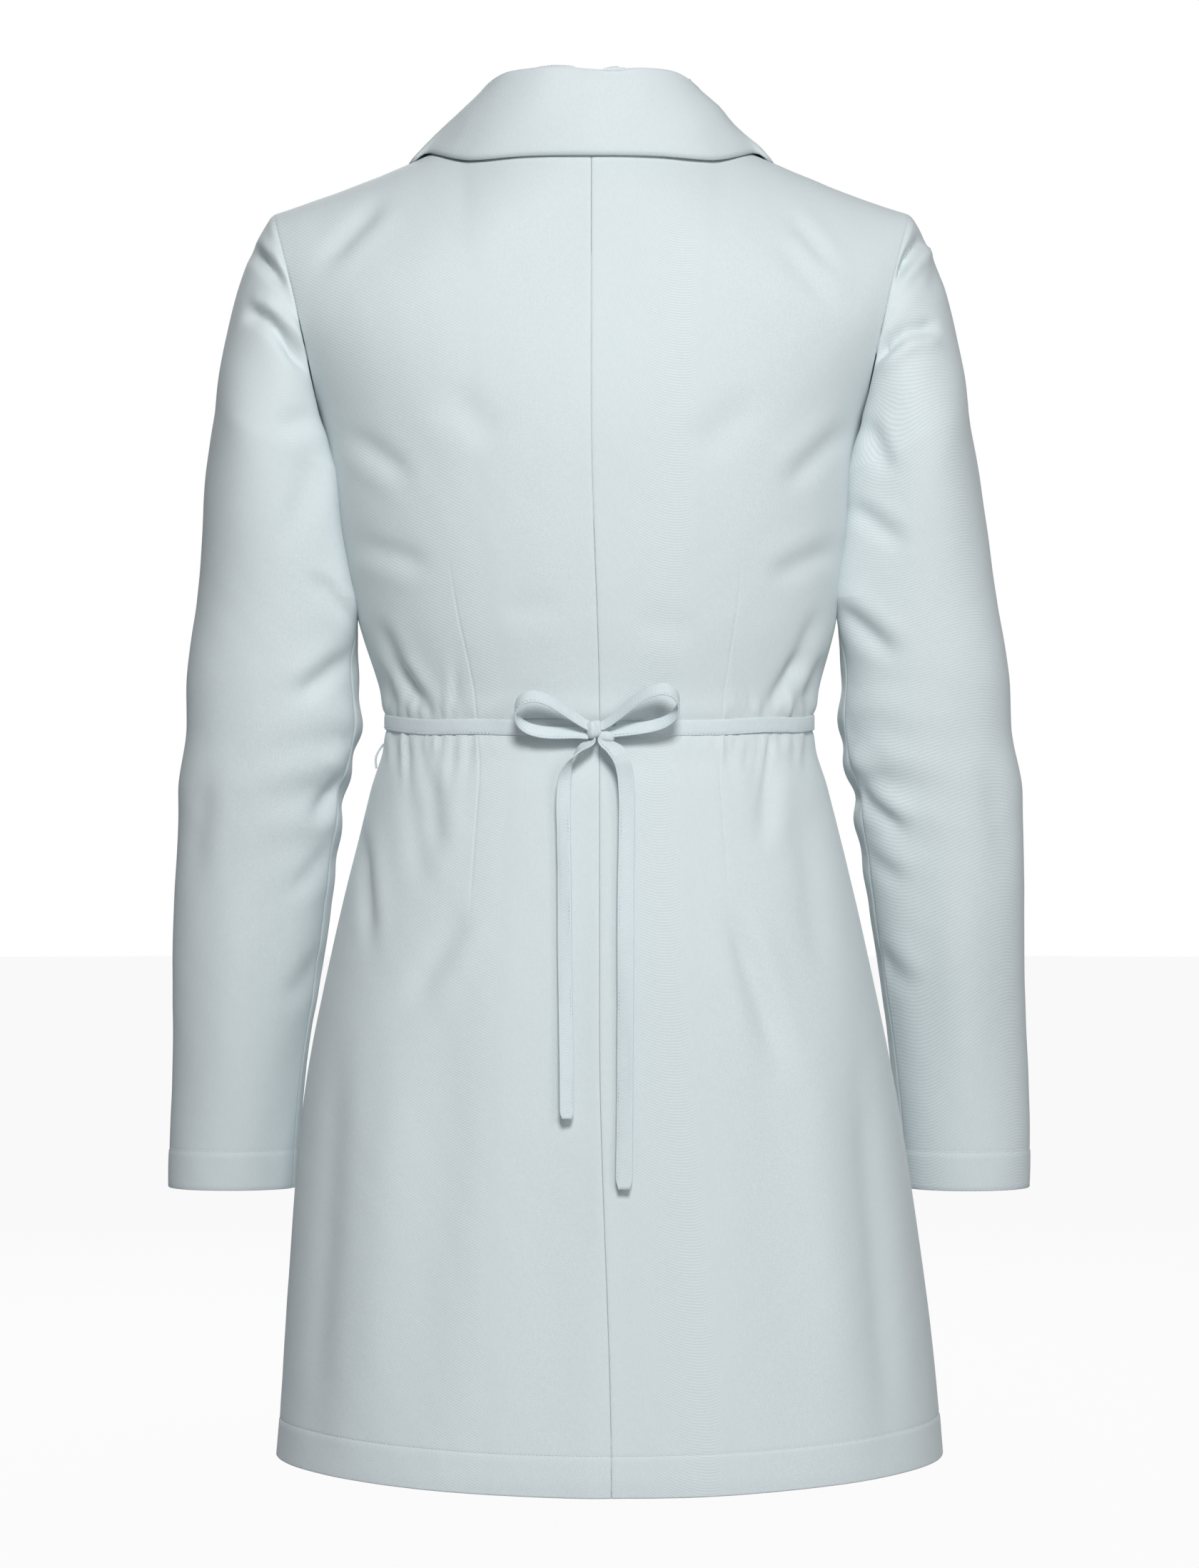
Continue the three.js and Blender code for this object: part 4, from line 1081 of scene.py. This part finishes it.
for index in range(4):
    make_button(index)
print("buttons", round(PIECES["button_1_disc"].dimensions.x * 1000, 1), "mm across")

# %% [markdown]
# ## Finishes
#
# The coat is a fine twill in a pale ice blue. Two effects are shared by its materials, so each is
# a node group: `Twill` draws the slanted wale and the yarns across it from the cloth's own UV map
# in metres, and the tone group gives the slow change of tone that real cloth has, and also paints
# shade into the grooves of the weave and a highlight onto its raised wale, on top of the bump.


# %% Helpers for node groups
def group(name, inputs, outputs):
    tree = bpy.data.node_groups.new(name, "ShaderNodeTree")
    for label, kind, value in inputs:
        item = tree.interface.new_socket(name=label, in_out="INPUT", socket_type=kind)
        if value is not None:
            item.default_value = value
    for label, kind in outputs:
        tree.interface.new_socket(name=label, in_out="OUTPUT", socket_type=kind)
    return tree, tree.nodes.new("NodeGroupInput"), tree.nodes.new("NodeGroupOutput")


def math_node(tree, operation, a, b=None, c=None):
    node = tree.nodes.new("ShaderNodeMath")
    node.operation = operation
    for socket, value in zip(node.inputs, (a, b, c)):
        if value is None:
            continue
        if isinstance(value, (int, float)):
            socket.default_value = value
        else:
            tree.links.new(value, socket)
    return node.outputs[0]


# %% The twill group
def build_twill():
    tree, source, sink = group("Twill", [
        ("Vector", "NodeSocketVector", None), ("Wale", "NodeSocketFloat", 0.00125),
        ("Yarn", "NodeSocketFloat", 0.0008)], [("Height", "NodeSocketFloat"), ("Slub", "NodeSocketFloat")])
    split = tree.nodes.new("ShaderNodeSeparateXYZ")
    tree.links.new(source.outputs["Vector"], split.inputs[0])
    along_wale = math_node(tree, "SUBTRACT", split.outputs[0], split.outputs[1])
    across = math_node(tree, "ADD", split.outputs[0], split.outputs[1])
    wobble = tree.nodes.new("ShaderNodeTexNoise")
    wobble.inputs["Scale"].default_value, wobble.inputs["Detail"].default_value = 90, 2
    tree.links.new(source.outputs["Vector"], wobble.inputs["Vector"])
    drift = math_node(tree, "MULTIPLY", wobble.outputs[0], 0.0012)
    across = math_node(tree, "ADD", across, drift)
    wale = math_node(tree, "SINE", math_node(tree, "MULTIPLY", math_node(
        tree, "DIVIDE", across, source.outputs["Wale"]), math.pi * math.sqrt(2)))
    yarn = math_node(tree, "SINE", math_node(tree, "MULTIPLY", math_node(
        tree, "DIVIDE", along_wale, source.outputs["Yarn"]), math.pi * math.sqrt(2)))
    slub = tree.nodes.new("ShaderNodeTexNoise")
    slub.inputs["Scale"].default_value, slub.inputs["Detail"].default_value = 650, 3
    stretch = tree.nodes.new("ShaderNodeMapping")
    stretch.inputs["Scale"].default_value = (1, 0.35, 1)
    tree.links.new(source.outputs["Vector"], stretch.inputs[0])
    tree.links.new(stretch.outputs[0], slub.inputs["Vector"])
    height = math_node(tree, "MULTIPLY_ADD", wale, 0.32, 0.5)
    height = math_node(tree, "MULTIPLY_ADD", yarn, 0.10, height)
    height = math_node(tree, "MULTIPLY_ADD", math_node(tree, "SUBTRACT", slub.outputs[0], 0.5), 0.5, height)
    tree.links.new(height, sink.inputs["Height"])
    tree.links.new(slub.outputs[0], sink.inputs["Slub"])
    return tree


# %% The tone group
def build_tone():
    tree, source, sink = group("Tone drift and weave shade", [
        ("Vector", "NodeSocketVector", None), ("Color", "NodeSocketColor", None),
        ("Weave", "NodeSocketFloat", 0.5), ("Change", "NodeSocketFloat", 0.05)],
        [("Color", "NodeSocketColor")])
    slow = tree.nodes.new("ShaderNodeTexNoise")
    slow.inputs["Scale"].default_value, slow.inputs["Detail"].default_value = 9, 3
    tree.links.new(source.outputs["Vector"], slow.inputs["Vector"])
    tone = math_node(tree, "MULTIPLY", math_node(tree, "SUBTRACT", slow.outputs[0], 0.5),
                     source.outputs["Change"])
    # Painted shade and highlight: the twill's height, which the bump also shades, darkens the colour in the
    # wale's grooves and lightens it on the ribs; only the slub's share of it is random yarn tone.
    weave = math_node(tree, "MULTIPLY", math_node(tree, "SUBTRACT", source.outputs["Weave"], 0.5), 0.16)
    value = math_node(tree, "ADD", math_node(tree, "ADD", tone, weave), 1.0)
    shade = tree.nodes.new("ShaderNodeHueSaturation")
    tree.links.new(value, shade.inputs["Value"])
    tree.links.new(source.outputs["Color"], shade.inputs["Color"])
    tree.links.new(shade.outputs[0], sink.inputs["Color"])
    return tree


TWILL, TONE = build_twill(), build_tone()
print("groups:", TWILL.name, "and", TONE.name)


# %% Cloth materials
def srgb(r, g, b):
    linear = [v / 255 / 12.92 if v <= 10.3 else ((v / 255 + 0.055) / 1.055) ** 2.4 for v in (r, g, b)]
    return (*linear, 1)


def cloth_finish(name, color, wale, yarn, bump, roughness=0.82, sheen=0.12):
    material = bpy.data.materials.new(name)
    material.use_nodes = True
    tree = material.node_tree
    surface = tree.nodes["Principled BSDF"]
    surface.inputs["Sheen Weight"].default_value = sheen
    surface.inputs["Sheen Roughness"].default_value = 0.45
    surface.inputs["Specular IOR Level"].default_value = 0.25
    uv = tree.nodes.new("ShaderNodeUVMap")
    uv.uv_map = "cloth"
    place = tree.nodes.new("ShaderNodeTexCoord")
    twill = tree.nodes.new("ShaderNodeGroup")
    twill.node_tree = TWILL
    twill.inputs["Wale"].default_value, twill.inputs["Yarn"].default_value = wale, yarn
    tree.links.new(uv.outputs[0], twill.inputs["Vector"])
    tone = tree.nodes.new("ShaderNodeGroup")
    tone.node_tree = TONE
    tone.inputs["Color"].default_value = srgb(*color)
    tree.links.new(place.outputs["Object"], tone.inputs["Vector"])
    # The twill's height also goes into the colour here, as painted shade in the weave's grooves and painted
    # highlight on its ribs.
    tree.links.new(twill.outputs["Height"], tone.inputs["Weave"])
    tree.links.new(tone.outputs[0], surface.inputs["Base Color"])
    rough = math_node(tree, "MULTIPLY_ADD", twill.outputs["Slub"], 0.2, roughness - 0.1)
    tree.links.new(rough, surface.inputs["Roughness"])
    relief = tree.nodes.new("ShaderNodeBump")
    relief.inputs["Strength"].default_value, relief.inputs["Distance"].default_value = bump, 0.0002
    tree.links.new(twill.outputs["Height"], relief.inputs["Height"])
    tree.links.new(relief.outputs[0], surface.inputs["Normal"])
    return material


OUTER = cloth_finish("pale_twill", (209, 218, 220), 0.00125, 0.0008, 0.3)
SASH = cloth_finish("sash_twill", (209, 219, 222), 0.00115, 0.0007, 0.4)
POCKET = cloth_finish("pocket_cotton", (222, 228, 230), 0.0005, 0.0005, 0.3, 0.9, 0.05)
THREAD = cloth_finish("thread", (214, 223, 227), 0.0004, 0.0003, 0.4, 0.6, 0.1)
print("cloth finishes:", [m.name for m in (OUTER, SASH, POCKET, THREAD)])


# %% Button finish
def button_finish():
    material = bpy.data.materials.new("pearl_button")
    material.use_nodes = True
    tree = material.node_tree
    surface = tree.nodes["Principled BSDF"]
    surface.inputs["Coat Weight"].default_value = 0.4
    surface.inputs["Coat Roughness"].default_value = 0.15
    place = tree.nodes.new("ShaderNodeTexCoord")
    cloud = tree.nodes.new("ShaderNodeTexNoise")
    cloud.inputs["Scale"].default_value, cloud.inputs["Detail"].default_value = 240, 4
    cloud.inputs["Distortion"].default_value = 1.2
    tree.links.new(place.outputs["Object"], cloud.inputs["Vector"])
    ramp = tree.nodes.new("ShaderNodeValToRGB")
    ramp.color_ramp.elements[0].color = srgb(176, 192, 202)
    ramp.color_ramp.elements[1].color = srgb(208, 219, 225)
    tree.links.new(cloud.outputs[0], ramp.inputs[0])
    tree.links.new(ramp.outputs[0], surface.inputs["Base Color"])
    tree.links.new(math_node(tree, "MULTIPLY_ADD", cloud.outputs[0], 0.2, 0.25), surface.inputs["Roughness"])
    relief = tree.nodes.new("ShaderNodeBump")
    relief.inputs["Strength"].default_value, relief.inputs["Distance"].default_value = 0.15, 0.0001
    tree.links.new(cloud.outputs[0], relief.inputs["Height"])
    tree.links.new(relief.outputs[0], surface.inputs["Normal"])
    return material


PEARL = button_finish()
print("button finish:", PEARL.name)

# %% [markdown]
# ## Seam stitches on the panels
#
# The hem and the cuffs are topstitched about 24 mm above their edges, and the front edges are
# stitched close to the edge. The lines are read from the finished cloth, so they follow its folds.

# %% Topstitching
def hem_row(points):
    return int(np.argmin(np.abs(points[:, -2, 2] + 797.5)))


for hand, side in SIDES:
    for face in ("back", "front"):
        points, normals = PANEL[face, hand]
        row = hem_row(points)
        stitches(f"hem_stitches_{face}_{hand}", points[row], normals[row], 2.4, (1.8, 0.42, 0.34), -0.1)
    points, normals = PANEL["front", hand]
    first = row_at(points, -300)
    stitches(f"edge_stitches_{hand}", points[first:-9, 6], normals[first:-9, 6], 2.4, (1.7, 0.4, 0.32), 0)
    points, normals = SLEEVE[hand]
    row = int(np.argmin(np.abs(points[:, 10, 2] + 637)))
    stitches(f"cuff_stitches_{hand}", points[row], normals[row], 2.4, (1.8, 0.42, 0.34), -0.1)
print("stitch lines:", sum("stitches" in n for n in PIECES))

# %% [markdown]
# ## Which body each piece follows
#
# Everything on the coat rides on its body, apart from the sleeves and the tails. The top half of
# a sleeve turns from the body to the upper sleeve below the armhole, and the lower half turns from
# the upper sleeve to the lower one at the elbow.

# %% Bodies, finishes and what each piece stands for
STANDS_FOR = {
    "back_left": ["back_panel_left"], "back_right": ["back_panel_right"],
    "front_left": ["front_panel_left"], "front_right": ["front_panel_right"],
    "facing_left": ["front_facing_left"], "facing_right": ["front_facing_right"],
    "pocket_left": ["pocket_bag_left"], "pocket_right": ["pocket_bag_right"],
    "neck_facing": ["back_neck_facing"], "hanger": ["hanger_loop"],
    "sleeve_top_left": ["sleeve_head_left", "sleeve_upper_left"],
    "sleeve_top_right": ["sleeve_head_right", "sleeve_upper_right"],
    "sleeve_arm_left": ["sleeve_lower_left"], "sleeve_arm_right": ["sleeve_lower_right"],
    "collar": ["upper_collar", "under_collar"],
    "lapel_left": ["lapel_left"], "lapel_right": ["lapel_right"],
    "sash": ["waist_sash"], "knot": ["bow_knot"],
    "loop_left": ["bow_loop_left"], "loop_right": ["bow_loop_right"],
    "tail_left": ["tie_tail_left"], "tail_right": ["tie_tail_right"], "carrier": ["thread_carrier"],
    **{f"button_{i}_disc": [f"button_{i}"] for i in range(1, 5)},
}


def finish_of(name):
    if "stitches" in name or name == "carrier" or name.endswith("thread"):
        return THREAD, "thread"
    if name.startswith("button"):
        return PEARL, "button"
    if name.startswith("pocket"):
        return POCKET, "pocket_cloth"
    if name.split("_")[0] in ("sash", "knot", "loop", "tail", "hanger"):
        return SASH, "sash_cloth"
    return OUTER, "outer_cloth"


for name, piece in PIECES.items():
    material, slot = finish_of(name)
    piece.data.materials.clear()
    piece.data.materials.append(material)
    if name in STANDS_FOR:
        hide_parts(*STANDS_FOR[name])
    hand = name.rsplit("_", 1)[-1]
    side = -1 if hand == "right" else 1
    if name.startswith("sleeve_top"):
        piece.data.set_sharp_from_angle(angle=math.radians(75))
        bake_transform(piece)
    elif name.startswith("sleeve_arm"):
        piece.data.set_sharp_from_angle(angle=math.radians(75))
        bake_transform(piece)
    elif name.startswith("cuff"):
        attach(piece, f"{hand}_lower_sleeve")
    elif name.startswith("tail"):
        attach(piece, f"{hand}_tail")
    else:
        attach(piece, "coat_body")
print(len(PIECES), "pieces")

# %% The tails' paths and lengths, read back
for hand, _ in SIDES:
    path, length = TAIL_PATH[hand]

# %% [markdown]
# ## Floor and light
#
# A plain pale floor lies under the coat, and the room round it is white to the eye but lights
# the coat only a little. Large soft lights stand on the camera's side, so that the cloth darkens
# gently towards its outline and every fold shows.


# %% Floor
def make_floor():
    bm = bmesh.new()
    bmesh.ops.create_circle(bm, cap_ends=True, segments=96, radius=14,
                            matrix=Matrix.Translation((0, 0, -0.98)))
    floor = link("floor", bm)
    PIECES.pop("floor")
    material = bpy.data.materials.new("floor_white")
    material.use_nodes = True
    tree = material.node_tree
    surface = tree.nodes["Principled BSDF"]
    surface.inputs["Base Color"].default_value = (0.55, 0.56, 0.57, 1)
    surface.inputs["Roughness"].default_value = 0.9
    seen = tree.nodes.new("ShaderNodeLightPath")
    glow = tree.nodes.new("ShaderNodeEmission")
    glow.inputs["Strength"].default_value = 1.0
    mix = tree.nodes.new("ShaderNodeMixShader")
    tree.links.new(math_node(tree, "MULTIPLY", seen.outputs["Is Camera Ray"], 0.94), mix.inputs[0])
    tree.links.new(surface.outputs[0], mix.inputs[1])
    tree.links.new(glow.outputs[0], mix.inputs[2])
    tree.links.new(mix.outputs[0], tree.nodes["Material Output"].inputs["Surface"])
    floor.data.materials.append(material)


make_floor()


# %% Lights
def soft_light(name, at, size, watts):
    light = bpy.data.objects.new(name, bpy.data.lights.new(name, "AREA"))
    light.data.shape, light.data.size, light.data.energy = "DISK", size, watts
    light.location = at
    light.rotation_euler = (Vector((0, 0, -0.4)) - Vector(at)).to_track_quat("-Z", "Y").to_euler()
    bpy.context.scene.collection.objects.link(light)


soft_light("key", (-0.2, 2.65, 1.3), 0.9, 73)
soft_light("fill", (-1.4, 2.4, 0.2), 1.0, 9)
soft_light("front", (0.5, -2.6, 1.0), 1.4, 46)
world = bpy.data.worlds.new("studio")
world.use_nodes = True
nodes = world.node_tree.nodes
nodes["Background"].inputs["Color"].default_value = (0.93, 0.96, 1.0, 1)
nodes["Background"].inputs["Strength"].default_value = 0.16
white = nodes.new("ShaderNodeBackground")
white.inputs["Color"].default_value = (1, 1, 1, 1)
sight, blend = nodes.new("ShaderNodeLightPath"), nodes.new("ShaderNodeMixShader")
for out_socket, in_socket in ((sight.outputs["Is Camera Ray"], blend.inputs[0]),
                              (nodes["Background"].outputs[0], blend.inputs[1]),
                              (white.outputs[0], blend.inputs[2]),
                              (blend.outputs[0], nodes["World Output"].inputs["Surface"])):
    world.node_tree.links.new(out_socket, in_socket)
bpy.context.scene.world = world
bpy.context.scene.view_settings.view_transform = "Standard"
